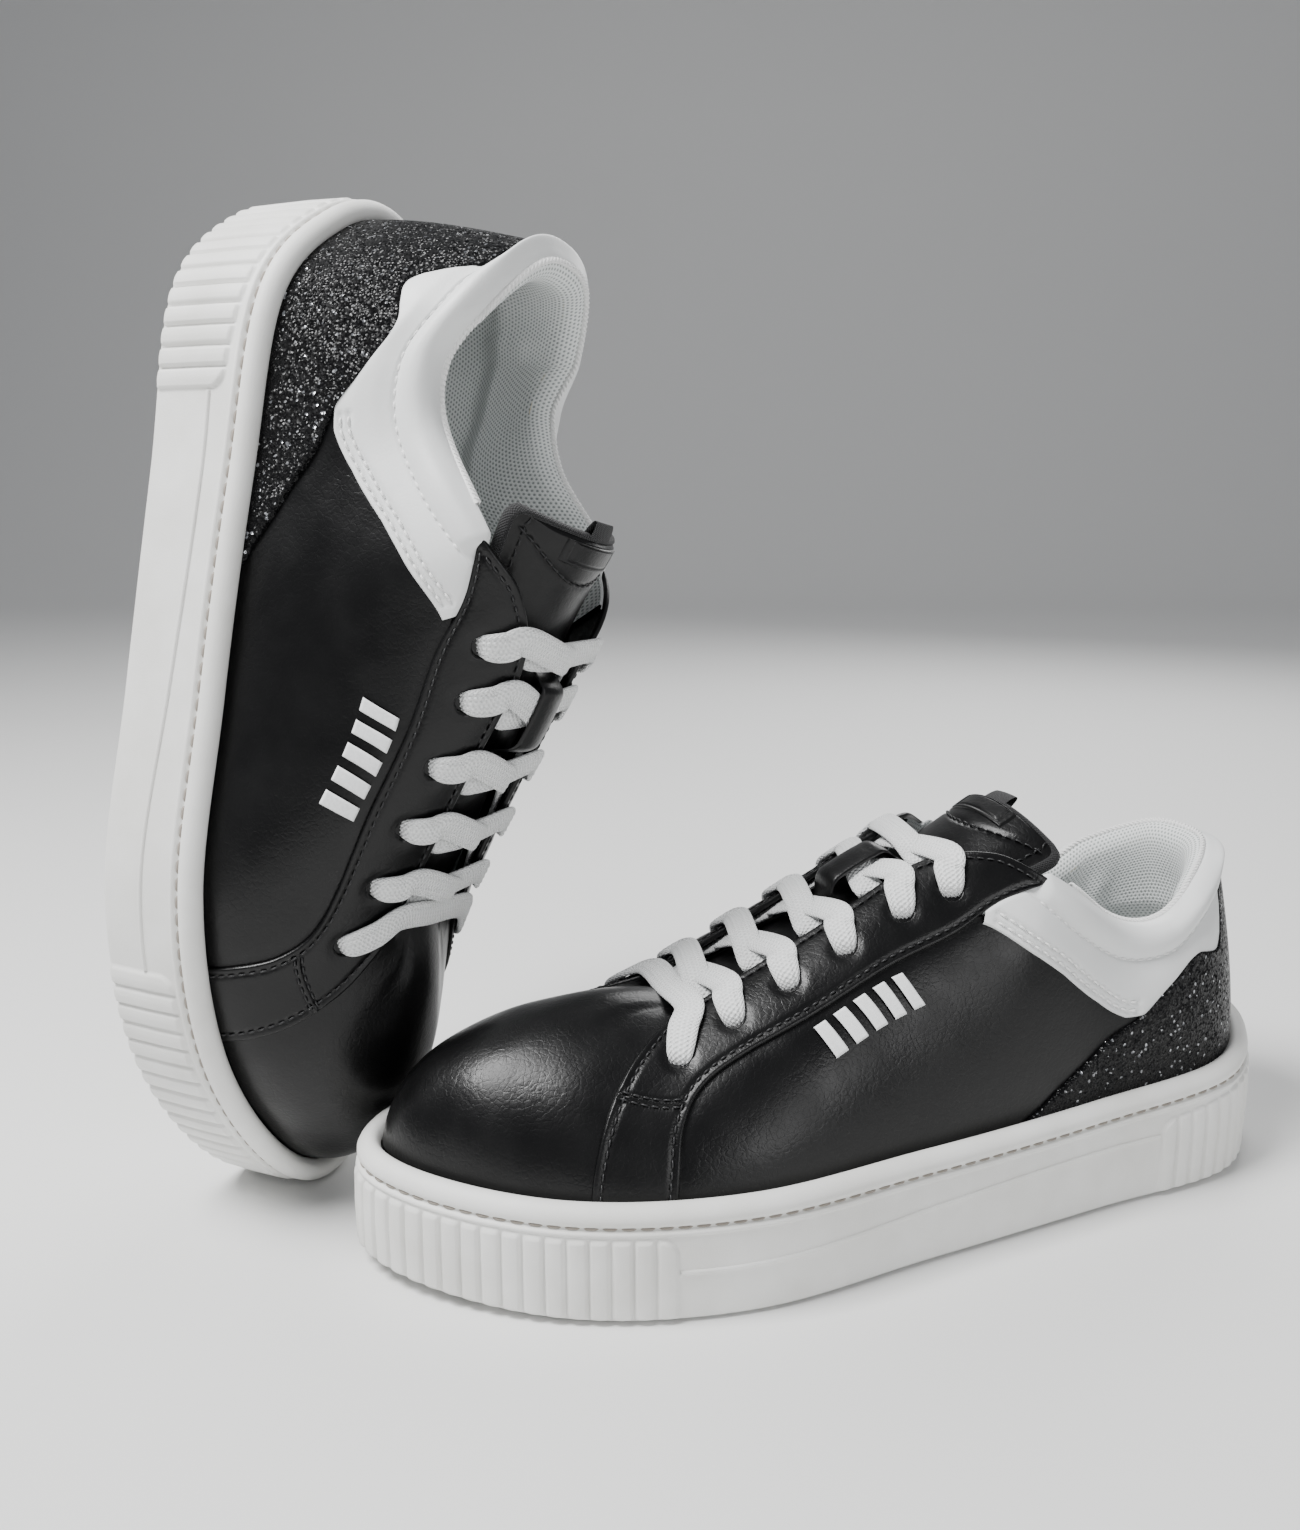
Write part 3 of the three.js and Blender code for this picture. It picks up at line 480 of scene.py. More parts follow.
def glitter_material():
    dark = (0.004, 0.004, 0.0045)
    material, tree, shader = new_material("black glitter", dark, 0.35, Specular_IOR_Level=0.16)
    where = place(tree)
    flake = cells(tree, where, 1.5, "F1")
    pick = add(tree, "ShaderNodeSeparateColor", None, Color=flake.outputs["Color"])
    # each flake's own colour tilts it away from the surface
    facet = vector_node(tree, "SUBTRACT", i0=flake.outputs["Color"], i1=(0.5, 0.5, 0.5))
    wide = vector_node(tree, "SCALE", i0=facet, Scale=0.95)
    tilt = vector_node(tree, "ADD", i0=add(tree, "ShaderNodeNewGeometry").outputs["Normal"], i1=wide)
    facing = vector_node(tree, "NORMALIZE", i0=tilt)
    edge = flake.outputs["Distance"]
    relief = add(tree, "ShaderNodeBump", None, Height=edge, Strength=0.6, Distance=0.0003, Normal=facing)
    tree.links.new(relief.outputs["Normal"], shader.inputs["Normal"])
    bright = math_node(tree, "GREATER_THAN", pick.outputs[0], 0.978)
    mixed(tree, shader, bright, dark, (0.42, 0.43, 0.45), 0.0, 1.0)
    mixed(tree, shader, bright, 0.0, 0.9, 0.0, 1.0, "Metallic")
    mixed(tree, shader, pick.outputs[1], 0.16, 0.45, 0.0, 1.0, "Roughness")
    return material


def woven_material(name, color, pitch, depth, sheen):
    """Flat weave that follows the piece's own length (U) and width (V), in millimetres."""
    material, tree, shader = new_material(name, color, 0.82, Sheen_Weight=sheen)
    uv, lengths = flat_place(tree)
    rate = 2 * math.pi / pitch
    waves = [math_node(tree, "SINE", math_node(tree, "MULTIPLY", length, rate)) for length in lengths]
    weave = math_node(tree, "MULTIPLY", *waves)
    # painted shade: the weave's low parts are coloured darker than its raised crowns
    mixed(tree, shader, weave, [0.8 * c for c in color], color, -0.9, 0.2)
    bump(tree, shader, [(weave, 0.75, depth), (noise(tree, uv, 2.6), 0.35, depth)])
    return material


def honeycomb_material():
    """Spacer mesh: two offset lattices of small holes make a honeycomb."""
    material, tree, shader = new_material("spacer mesh", (0.74, 0.76, 0.755), 0.8, Sheen_Weight=0.25)
    pitch = 1.25
    _, lengths = flat_place(tree)
    nearest = None
    for shift in (0.0, 0.5):
        sides = []
        for length, size in zip(lengths, (pitch, pitch * math.sqrt(3))):
            share = math_node(tree, "ADD", math_node(tree, "DIVIDE", length, size), shift)
            centre = math_node(tree, "SUBTRACT", math_node(tree, "FRACT", share), 0.5)
            sides.append(math_node(tree, "POWER", math_node(tree, "MULTIPLY", centre, size), 2.0))
        reach = math_node(tree, "SQRT", math_node(tree, "ADD", *sides))
        nearest = reach if nearest is None else math_node(tree, "MINIMUM", nearest, reach)
    # painted shade: the holes are coloured dark, standing for shade inside the mesh's openings
    mixed(tree, shader, nearest, (0.30, 0.33, 0.32), (0.78, 0.80, 0.795), 0.24, 0.42)
    bump(tree, shader, [(nearest, 0.7, 0.0004)])
    return material


def plain_material(name, color, roughness, scale, depth):
    material, tree, shader = new_material(name, color, roughness)
    where = place(tree)
    grain = noise(tree, where, scale, 4.0)
    mixed(tree, shader, grain, color, [min(1, c * 1.12) for c in color], 0.35, 0.65)
    bump(tree, shader, [(grain, 0.5, depth)])
    return material


BLACK = leather_material("black leather", (0.0025, 0.0025, 0.0027), 0.33, 1.05, 0.00008, 0.05, 0.32)
WHITE = leather_material("white leather", (0.78, 0.79, 0.785), 0.44, 1.2, 0.00005, 0.04)
RUBBER = rubber_material()
GLITTER = glitter_material()
LACE = woven_material("lace weave", (0.86, 0.87, 0.865), 1.15, 0.00025, 0.3)
THREAD_WHITE = plain_material("white thread", (0.80, 0.80, 0.79), 0.7, 4.0, 0.0001)
THREAD_BLACK = plain_material("black thread", (0.012, 0.012, 0.013), 0.45, 4.0, 0.0001)
THREAD_GREY = plain_material("grey thread", (0.30, 0.27, 0.235), 0.8, 4.0, 0.0001)
PRINT = plain_material("white print", (0.84, 0.85, 0.85), 0.4, 1.5, 0.00005)
MESH = honeycomb_material()
BOARD = plain_material("pale fibre board", (0.56, 0.56, 0.545), 0.85, 1.4, 0.0002)
FOAM = plain_material("foam", (0.66, 0.60, 0.42), 0.9, 1.8, 0.0004)
STIFF = plain_material("stiffener sheet", (0.50, 0.46, 0.39), 0.8, 1.2, 0.0002)
BINDING = woven_material("black binding", (0.014, 0.014, 0.015), 0.8, 0.0002, 0.1)


# ---- sole
RIB_PITCH = 5.3
RIB_HEIGHT = 0.8
TOE_RIBS_FROM = 203
HEEL_RIBS_TO = 58
TREAD_MARGIN = 1.9
SOCKLINER_MARGIN = 14.6
# section of the wall's beaded top: distance in from the outline, height over the rim
BEAD = [
    (6.4, -2.6), (5.6, -1.1), (4.7, -0.35), (3.7, -0.1), (2.7, -0.3), (1.7, -0.85),
    (0.9, -1.7), (0.4, -2.7), (0.35, -3.7), (0.6, -4.5), (1.15, -5.0), (1.3, -5.3),
    (1.15, -5.6), (0.6, -5.85), (0.2, -6.1), (0.02, -6.5), (0.12, -6.9), (0.42, -7.15),
]
# its foot: distance in, height over the ground line
FOOT = [(0.5, 0.75), (1.2, 0.4), (2.6, 0.35), (9, 0.4)]


def plate(piece, margin, bottom, top, columns, rows):
    """Closed slab with the shoe's outline, set in by a margin; heights are functions of x, y."""
    u = np.linspace(0, TOE, columns)
    one = inset(u, margin)
    two = inset(STATIONS - u, margin)
    two[0] = one[0]
    two[-1] = one[-1]
    b = np.linspace(0, 1, rows)[None, :, None]
    flat = one[:, None] * (1 - b) + two[:, None] * b
    x, y = flat[..., 0], flat[..., 1]
    high = np.stack([x, y, top(x, y)], -1)
    low = np.stack([x, y, bottom(x, y)], -1)
    piece.grid(high, out=(0, 0, 1))
    piece.grid(low, out=(0, 0, -1))
    edge = np.concatenate([np.arange(columns), np.arange(columns - 2, 0, -1)])
    last = np.concatenate([np.zeros(columns, int), np.full(columns - 2, rows - 1)])
    wall = np.stack([low[edge, last], high[edge, last]], 1)
    piece.grid(wall, out=wall - wall.mean(0), close_a=True)


def sole(shoe):
    u = np.linspace(0, STATIONS, 6401)
    ring = outline(u)
    s = run_length(ring)
    x = ring[:, 0]
    zone = (x > TOE_RIBS_FROM - 2) | (x < HEEL_RIBS_TO + 2)
    weight = np.concatenate([[0], np.cumsum(np.diff(s) / np.where(zone[1:], 0.46, 2.2))])
    columns = int(weight[-1])
    pick = np.interp(np.arange(columns) / columns * weight[-1], weight, np.arange(len(u)))
    cu = np.interp(pick, np.arange(len(u)), u)
    cs = np.interp(pick, np.arange(len(u)), s)
    cx = outline(cu)[:, 0]
    total = s[-1]
    toe_s = np.interp(TOE, u, s)
    from_heel = np.minimum(cs, total - cs)
    from_toe = np.abs(cs - toe_s)

    def at_x(goal, part, values):
        order = np.argsort(x[part])
        return np.interp(goal, x[part][order], values[part][order])

    def zone_end(inside, distance, goal):
        lateral, medial = (distance(at_x(goal, inside & half, s)) for half in (u < TOE, u >= TOE))
        return np.where(cu < TOE, lateral, medial)

    toe_end = zone_end(x > 120, lambda v: abs(v - toe_s), TOE_RIBS_FROM)
    heel_end = zone_end(x < 150, lambda v: min(v, total - v), HEEL_RIBS_TO)
    # rows of the wall: distance in from the outline, height, whether ribs lift it
    fine = np.arange(0.0, 9.5, 0.48)
    wall_top = rim(cx) - 7.4
    start = wall_top - fine[-1]
    drop = spring(cx) + 1.5 - start
    rows = [(distance, rim(cx) + z, 0) for distance, z in BEAD]
    rows += [(0.42 - 0.03 * d, wall_top - d, 1) for d in fine]
    rows += [(0.14 + 0.1 * f, start + drop * f, 1) for f in np.linspace(0, 1, 15)[1:]]
    rows += [(distance, spring(cx) + z, 0) for distance, z in FOOT]
    ring_points = []
    for distance, z, ribbed in rows:
        lift = 0
        for away, end, low_top, high_top in (
            (from_toe, toe_end, rim(cx) - 7.9, 0.0), (from_heel, heel_end, rim(cx) - 9.6, 2.0),
        ):
            inside = end - away
            corner = edge_drop(np.maximum(inside, 0), 4.5)
            top = low_top + high_top * smooth(0, 45, inside) - corner
            body = smooth(-0.1, 0.55, inside) * smooth(-0.3, 0.6, top - z)
            phase = np.abs((inside / RIB_PITCH) - np.round(inside / RIB_PITCH)) * RIB_PITCH
            groove = np.where(inside > 1.5, np.exp(-((phase / 0.52) ** 4)), 0)
            crown = 0.12 * np.cos(2 * math.pi * inside / RIB_PITCH)
            lift = lift + body * (RIB_HEIGHT * (1 - 1.15 * groove) - crown)
        p = inset(cu, distance - lift * ribbed)
        ring_points.append(np.column_stack([p, z]))
    p = np.stack(ring_points, 1)
    centre = np.array([LENGTH / 2, 0, 15])
    cup = Piece(shoe, "cup_sole")
    cup.grid(p, out=(p - centre) * [1, 1, 0.2], close_a=True)
    # thin raised line along the plain part of each side
    for half in (u < TOE, u > TOE):
        xs = np.linspace(TOE_RIBS_FROM - 0.5, HEEL_RIBS_TO + 0.5, 120)
        across = at_x(xs, half, u)
        z = 13 + 5 * smooth(TOE_RIBS_FROM - 8, HEEL_RIBS_TO + 6, xs)
        path = np.column_stack([inset(across, 0.12), z])
        n = unit(path - np.column_stack([inset(across, 5), z]))
        tube(cup, path, n, 0.55)
    cup.make(RUBBER, "sole_rubber", "shoe", "cup_sole")

    seam = Piece(shoe, "sole_stitching")
    su = np.interp(np.linspace(0, total, 700), s, u)
    seam_path = np.column_stack([inset(su, 1.15), rim(outline(su)[:, 0]) - 5.28])
    seam_in = np.column_stack([inset(su, 5), seam_path[:, 2]])
    stitches(seam, seam_path, unit(seam_path - seam_in), 4.4, 3.7, 0.36, 0.12)
    seam.make(THREAD_GREY, "lining_mesh", "shoe")

    tread = Piece(shoe, "outsole_tread")

    def pattern(px, py):
        wave = np.sin(2 * math.pi * (px + 5 * np.abs(np.mod(py, 14) / 7 - 1)) / 6.5)
        return spring(px) + 1.1 * smooth(0.1, 0.55, wave)

    plate(tread, TREAD_MARGIN, pattern, lambda px, py: spring(px) + 4, 230, 70)
    tread.make(RUBBER, "sole_rubber", "shoe", "outsole_tread")

    sock = Piece(shoe, "sockliner")

    def bed(px, py):
        return rim(px) - TUCK + 2.9 + 0.001 * (py - 1.5) ** 2

    plate(sock, SOCKLINER_MARGIN, lambda px, py: rim(px) - TUCK, bed, 90, 30)
    sock.make(MESH, "lining_mesh", "sockliner", "sockliner")


# ---- leather upper
SEAM = [
    (5.42, 0), (5.42, 0.2), (5.42, 0.4), (5.34, 0.53), (5.12, 0.58),
    (4.75, 0.59), (4.35, 0.615), (4, 0.67), (3.78, 0.77), (3.5, 0.95),
]
FACING_EDGE = [
    (5.92, 0), (5.92, 0.25), (5.92, 0.55), (5.86, 0.8), (5.64, 0.985),
    (5.1, 1), (4.6, 1), (4.1, 1), (3.75, 1), (3.45, 0.995),
]
QUARTER_TOP = [
    (5.6, 0.55), (5.3, 0.62), (5.05, 0.66), (4.7, 0.67), (4.3, 0.69), (4.0, 0.74),
    (3.86, 0.76), (3.55, 0.74), (3.26, 0.70), (3.0, 0.66), (2.7, 0.6),
]
QUARTER_BOTTOM = [
    (5.6, 0), (5.25, 0), (4.95, 0), (4.65, 0), (4.35, 0), (4.05, 0),
    (3.8, 0), (3.5, 0), (3.25, 0), (3.0, 0), (2.7, 0.02),
]
VAMP_EDGE = [(0, 5.8), (0.25, 5.8), (0.55, 5.8), (0.8, 5.72), (1, 5.5)]
COLLAR_BOTTOM = [
    (3.79, 0.72), (3.55, 0.695), (3.26, 0.665), (3, 0.61), (2.8, 0.54), (2.66, 0.54),
    (2.5, 0.6), (2.3, 0.66), (2.1, 0.66), (1.9, 0.6), (1.7, 0.6), (1.4, 0.8), (1.1, 0.86), (0, 0.86),
]
COUNTER_TOP = [
    (3.42, 0.04), (3.28, 0.11), (3.06, 0.26), (2.88, 0.43), (2.7, 0.54), (2.54, 0.675), (2.36, 0.755),
    (2.2, 0.75), (2.02, 0.67), (1.8, 0.625), (1.64, 0.72), (1.5, 0.84), (1.38, 0.905), (0.7, 0.92), (0, 0.92),
]
EYELETS = 6
EYELET_START = 5.52
EYELET_STEP = 0.298
EYELET_T = [0.71, 0.76, 0.78, 0.78, 0.79, 0.83]
OVERLAY = 1.0
VAMP_REACH = 183
VAMP_ROWS = 96
# crest of the tongue: x, z, half width, thickness as a share of the full one
TONGUE_LINE = [
    (212, 58.4, 15, 0.5), (204, 58.2, 17, 0.6), (188, 58.8, 19, 0.8),
    (170, 66.4, 20, 1), (146, 77.4, 20.5, 1), (120, 89.6, 21, 1),
    (103, 97.8, 22.5, 1), (92, 104, 24, 1), (88, 106, 23.5, 0.9),
]
TONGUE_CURVE = 0.0195


def tongue_point(s, across, depth):
    """Across runs from -1 to 1; depth is under the tongue's upper face."""
    s, across, depth = np.broadcast_arrays(*(np.asarray(v, float) for v in (s, across, depth)))
    rows = through(TONGUE_LINE, s)
    step = through(TONGUE_LINE, np.minimum(1, s + 0.01)) - through(TONGUE_LINE, np.maximum(0, s - 0.01))
    along = unit(step[..., :2])
    y = across * rows[..., 2]
    sink = TONGUE_CURVE * y * y + depth * rows[..., 3]
    return np.stack([rows[..., 0] - along[..., 1] * sink, y, rows[..., 1] - np.abs(along[..., 0]) * sink], -1)


def on_tongue(s, across, depth):
    """A point of the tongue and the way out of it."""
    p = tongue_point(s, across, depth)
    return p, unit(p - tongue_point(s, across, depth + 1))


def tongue_height(x, y):
    """Height of the tongue's upper face over a point."""
    line = tongue_point(np.linspace(0, 1, 200), 0, 0)
    return np.interp(x, line[::-1, 0], line[::-1, 2]) - TONGUE_CURVE * y * y


def on_side(points, sign):
    return [(sign * u, t) for u, t in points]


def eyelet(sign, i, offset):
    u = np.array(sign * (EYELET_START - EYELET_STEP * i))
    return upper_at(u, EYELET_T[i], offset), upper_normal(u, np.array(EYELET_T[i]))


def inner_line(lower, high, distance, from_low=True, count=240, span=(0, 1)):
    """(u, t) points a fixed distance inside one edge of a panel."""
    a = np.linspace(span[0], span[1], count)
    low, top = through(lower, a), through(high, a)
    b = np.linspace(0, 1, 120)
    uv = low[:, None] + (top - low)[:, None] * b[None, :, None]
    p = upper(uv[..., 0], np.clip(uv[..., 1], 0, 1))
    length = run_length(p, 1)
    want = np.full(count, float(distance)) if from_low else length[:, -1] - distance
    share = np.array([np.interp(w, row, b) for w, row in zip(want, length)])[:, None]
    return low + (top - low) * share


def upper_parts(shoe):
    black_threads = Piece(shoe, "black_stitching")
    white_threads = Piece(shoe, "white_stitching")

    # toe cap, from one eyestay round the toe to the other
    vamp = Piece(shoe, "vamp")
    a = np.linspace(0, 1, 230)[:, None]
    t = np.linspace(0, 1, VAMP_ROWS)[None, :]
    edge = spline(*np.transpose(VAMP_EDGE), t)
    u = edge + (STATIONS - 2 * edge) * a
    n = upper_normal(u, t + 0 * u)
    flat = upper(u, t + 0 * u)
    wrinkle = 0.16 * np.sin(flat[..., 0] * 0.21 + 2) * np.sin(flat[..., 1] * 0.17 + flat[..., 2] * 0.13)
    top = flat + n * wrinkle[..., None]
    # its rear edge runs on under the first lace, down onto the tongue
    share = np.linspace(0, 1, 25)[None, 1:, None]
    edge_point = top[:, -1:]
    heading = unit(top[:, -1] - top[:, -5])[:, None]
    rest_x = np.minimum(edge_point[..., 0], VAMP_REACH)
    rest_y = 0.8 * edge_point[..., 1]
    rest = np.stack([rest_x, rest_y, tongue_height(rest_x, rest_y) + 0.9], -1)
    length = np.linalg.norm(rest - edge_point, axis=-1, keepdims=True)
    bend = edge_point + heading * length * 0.35
    flap = edge_point * (1 - share) ** 2 + 2 * bend * share * (1 - share) + rest * share**2
    top = np.concatenate([top, flap], 1)
    looks = unit(faces_of(top) + 1e-9)
    if (looks[:, :VAMP_ROWS] * n).sum() < 0:
        looks = -looks
    looks[:, :VAMP_ROWS] = n
    last = np.array([0.08, 0.3, 0.8])
    top[:, -3:] -= looks[:, -3:] * last[None, :, None]
    under = top[:, ::-12] - looks[:, ::-12] * 1.4
    slab(vamp, top, under, looks, looks[:, ::-12])
    vamp.make(BLACK, "black_leather", "shoe", "vamp")

    for sign, name in ((1, "lateral"), (-1, "medial")):
        seam, facing = on_side(SEAM, sign), on_side(FACING_EDGE, sign)
        quarter = Piece(shoe, "quarter_" + name)
        seam_path, _ = line_on(seam, 0)
        leather(
            quarter, on_side(QUARTER_BOTTOM, sign), on_side(QUARTER_TOP, sign), 230, 84, 0.0, 1.5,
            dents=[(seam_path, 2.2, 0.25)],
        )
        quarter.make(BLACK, "black_leather", "shoe", "quarter_" + name)

        # eyestay with its strap down to the sole, punched for the lace
        rows = [
            inner_line(seam, facing, 2.1, count=260, span=(0.0, 0.985)),
            inner_line(seam, facing, 2.2, False, 260, (0.0, 0.97)),
        ]
        lines = [line_on(r, OVERLAY) for r in rows]
        strap = []
        for shift in (0.0, 0.032):
            ends = on_side([(5.885, 0.555 + shift), (5.455, 0.475 + shift)], sign)
            strap.append(line_on(ends, OVERLAY, 60))
        dents = [(p, 0.8, 0.3) for p, _ in lines] + [(p, 0.6, 0.35) for p, _ in strap]
        middle = (strap[0][0] + strap[1][0]) / 2
        dents.append((middle, 0.7, -0.35))
        pits = [(eyelet(sign, i, 0)[0], 2.9) for i in range(EYELETS)]
        stay = Piece(shoe, "eyestay_" + name)
        leather(stay, seam, facing, 420, 84, OVERLAY, 1.5, dents=dents, pits=pits)
        stay.make(BLACK, "black_leather", "shoe", "eyestay_" + name)
        for path, normal in lines + strap:
            stitches(black_threads, path, normal, 2.7, 2.1, 0.27, 0.02)

    # heel counter with its strip up the back
    counter = Piece(shoe, "heel_overlay")
    high = COUNTER_TOP + [(-u, t) for u, t in COUNTER_TOP[:-1][::-1]]
    low = [(u, 0.0) for u, _ in high]
    leather(counter, low, high, 460, 70, OVERLAY + 0.35, 2.0, radius=1.0)
    counter.make(GLITTER, "black_glitter", "shoe", "heel_overlay")

    for sign, name in ((1, "lateral"), (-1, "medial")):
        for path, normal in collar_panel(shoe, sign, name):
            stitches(white_threads, path, normal, 3.0, 2.2, 0.34, 0.16)
    black_threads.make(THREAD_BLACK, "black_leather", "shoe")
    white_threads.make(THREAD_WHITE, "white_leather", "shoe")

    # raised motif: five slanted bars
    emblem = Piece(shoe, "emblem")
    top_line = np.array([(4.76, 0.545), (4.24, 0.585)])
    low_line = np.array([(4.60, 0.405), (4.06, 0.475)])
    bars = 5
    for k in range(bars):
        f = [(k + 0.2) / bars, (k + 0.8) / bars]
        low_edge, top_edge = ([line[0] + (line[1] - line[0]) * v for v in f] for line in (low_line, top_line))
        leather(emblem, low_edge, top_edge, 14, 26, 1.15, 1.3, radius=0.45)
    emblem.make(PRINT, "white_print", "shoe", "emblem")


# ---- padded collar
COLLAR_ROWS = 46
ROLL_ROWS = 60
LEATHER_SHARE = 0.66


def roll_section(u, stitch_t, full):
    """Cross-section of the padded edge at each station: outside seam, over the top, down the inside."""
    top = upper(u, np.ones_like(u))
    n = upper_normal(u, np.full_like(u, 0.985))
    d = unit(top - upper(u, np.full_like(u, 0.95)))
    f = full[:, None]
    points = [upper_at(u, stitch_t, 0.35)]
    # free of the eyestay; the front end lies flat under it, and is slim inside beside the tongue
    free = 1 - smooth(3.44, 3.54, np.abs(u))
    slim = 0.25 + 0.75 * smooth(3.3, 2.95, np.abs(u))[:, None]
    for share, puff in ((0.2, 1.7), (0.48, 2.7), (0.78, 2.5)):
        points.append(upper_at(u, stitch_t + (1 - stitch_t) * share, 0.5 * free + puff * full * free - 0.1))
    for along, inward in ((0.6, -0.9), (1.9, 1.9), (1.5, 5.0), (-1.0, 7.4), (-5.0, 8.5)):
        rise = along * (0.4 + 0.6 * f) * free[:, None] - 1.3 * (1 - free[:, None])
        depth = inward * (0.32 + 0.68 * f) * (slim if inward > 0 else 1) + 0.5 * (1 - free[:, None])
        points.append(top + d * rise - n * depth)
    flat = np.reshape(points, (len(points), -1))
    return np.stack([through(flat, v).reshape(-1, 3) for v in np.linspace(0, 1, ROLL_ROWS)], 1)


def collar_lines(big):
    stitch = 0.865 + 0.075 * smooth(1.75, 1.2, big) + 0.045 * smooth(3.2, 3.7, big)
    full = 0.12 + 0.88 * smooth(3.78, 3.15, big)
    return stitch, full


def collar_panel(shoe, sign, name):
    big = np.linspace(3.79, 0, 330)
    stitch, full = collar_lines(big)
    bottom = np.interp(big, *np.transpose(COLLAR_BOTTOM[::-1]))
    bottom = np.minimum(bottom, stitch - 0.03)
    b = np.linspace(0, 1, COLLAR_ROWS)
    t = bottom[:, None] + (stitch - bottom)[:, None] * b
    u = sign * big[:, None] + 0 * t
    flat, n = upper(u, t), upper_normal(u, t)
    across = run_length(flat, 1)
    drop = edge_drop(across, 0.8)
    puff = 0.5 * smooth(0, 6, across) * smooth(0, 6, across[:, -1:] - across)
    # the front end goes down under the eyestay
    seam_u = np.interp(t, *np.transpose(SEAM[4:])[::-1])
    covered = smooth(-0.03, 0.04, big[:, None] - seam_u)
    p = flat + n * ((0.75 - drop + puff) * (1 - covered))[..., None]
    last = np.array([0.1, 0.3, 0.5])[None, :, None]
    p[:, -3:] -= n[:, -3:] * last * (1 - covered[:, -3:, None])
    seams = []
    for distance in (2.0, 4.3):
        where = np.array([[np.interp(distance, row, np.arange(COLLAR_ROWS))] for row in across])
        keep = (big > 2.72) & (big < 3.71)
        seams.append([
            np.array([sample(row, at)[0] for row, at in zip(grid[keep], where[keep])]) for grid in (p, n)
        ])
    for path, _ in seams:
        p = dent(p, n, path, 0.95, 0.62)
    seams = [(path - normal * 0.25, normal) for path, normal in seams]
    section = roll_section(sign * big, stitch, full)
    whole = np.concatenate([p, section[:, 1:int(ROLL_ROWS * LEATHER_SHARE)]], 1)
    looks = faces_of(whole)
    if (looks[:, :40] * n[:, :40]).sum() < 0:
        looks = -looks
    panel = Piece(shoe, "collar_panel_" + name).grid(whole, out=looks)
    panel.make(WHITE, "white_leather", "shoe", "collar_panel_" + name)
    keep = big < 3.5
    seams.append((p[keep, -1] + n[keep, -1] * 0.1, n[keep, -1]))
    return seams


def lining_depth(t):
    return 5.7 + 2.9 * smooth(0.4, 0.58, t)


def lining(shoe):
    big = np.linspace(3.76, -3.76, 620)
    stitch, full = collar_lines(np.abs(big))
    section = roll_section(big, stitch, full)
    first = int(ROLL_ROWS * LEATHER_SHARE) - 2
    t = np.linspace(0.8, 0.1, 54)[None, :] + 0 * big[:, None]
    u = big[:, None] + 0 * t
    thin = smooth(3.3, 2.95, np.abs(big))[:, None]
    depth = lining_depth(t) * (0.35 + 0.65 * full[:, None]) * (0.3 + 0.7 * thin) + 0.1
    fold = sum(
        size * np.exp(-(((u - at) / wide) ** 2)) for at, size, wide in
        ((1.75, 1.3, 0.16), (-1.75, 1.3, 0.16), (2.5, 0.7, 0.2), (-2.5, 0.7, 0.2), (0.0, -0.8, 0.5))
    )
    depth = np.maximum(depth + fold * smooth(0.35, 0.55, t) * smooth(0.86, 0.7, t), 1.8)
    wall = upper_at(u, t, -depth)
    whole = np.concatenate([section[:, first:], wall], 1)
    # the join between roll and wall, made soft
    join = ROLL_ROWS - first
    for _ in range(6):
        whole[:, join - 6:join + 10] = (
            whole[:, join - 7:join + 9] + 2 * whole[:, join - 6:join + 10] + whole[:, join - 5:join + 11]
        ) / 4
    n = faces_of(whole)
    inside = np.array([80, 0, 60.0]) - whole
    if (n * inside).sum() < 0:
        n = -n
    piece = Piece(shoe, "collar_lining").grid(whole, out=n)
    piece.make(MESH, "lining_mesh", "shoe", "collar_lining")

    # overlocked edge between the leather and the mesh
    keep = np.abs(big) < 3.3
    path = section[keep, first + 1]
    normal = -unit(n[keep, 2])
    over = Piece(shoe, "collar_edge_stitching")
    tube(over, path, normal, 0.75)
    stitches(over, path - normal * 0.35, -normal, 1.35, 2.0, 0.36, 0.45, slant=0.9)
    over.make(THREAD_WHITE, "lining_mesh", "shoe")


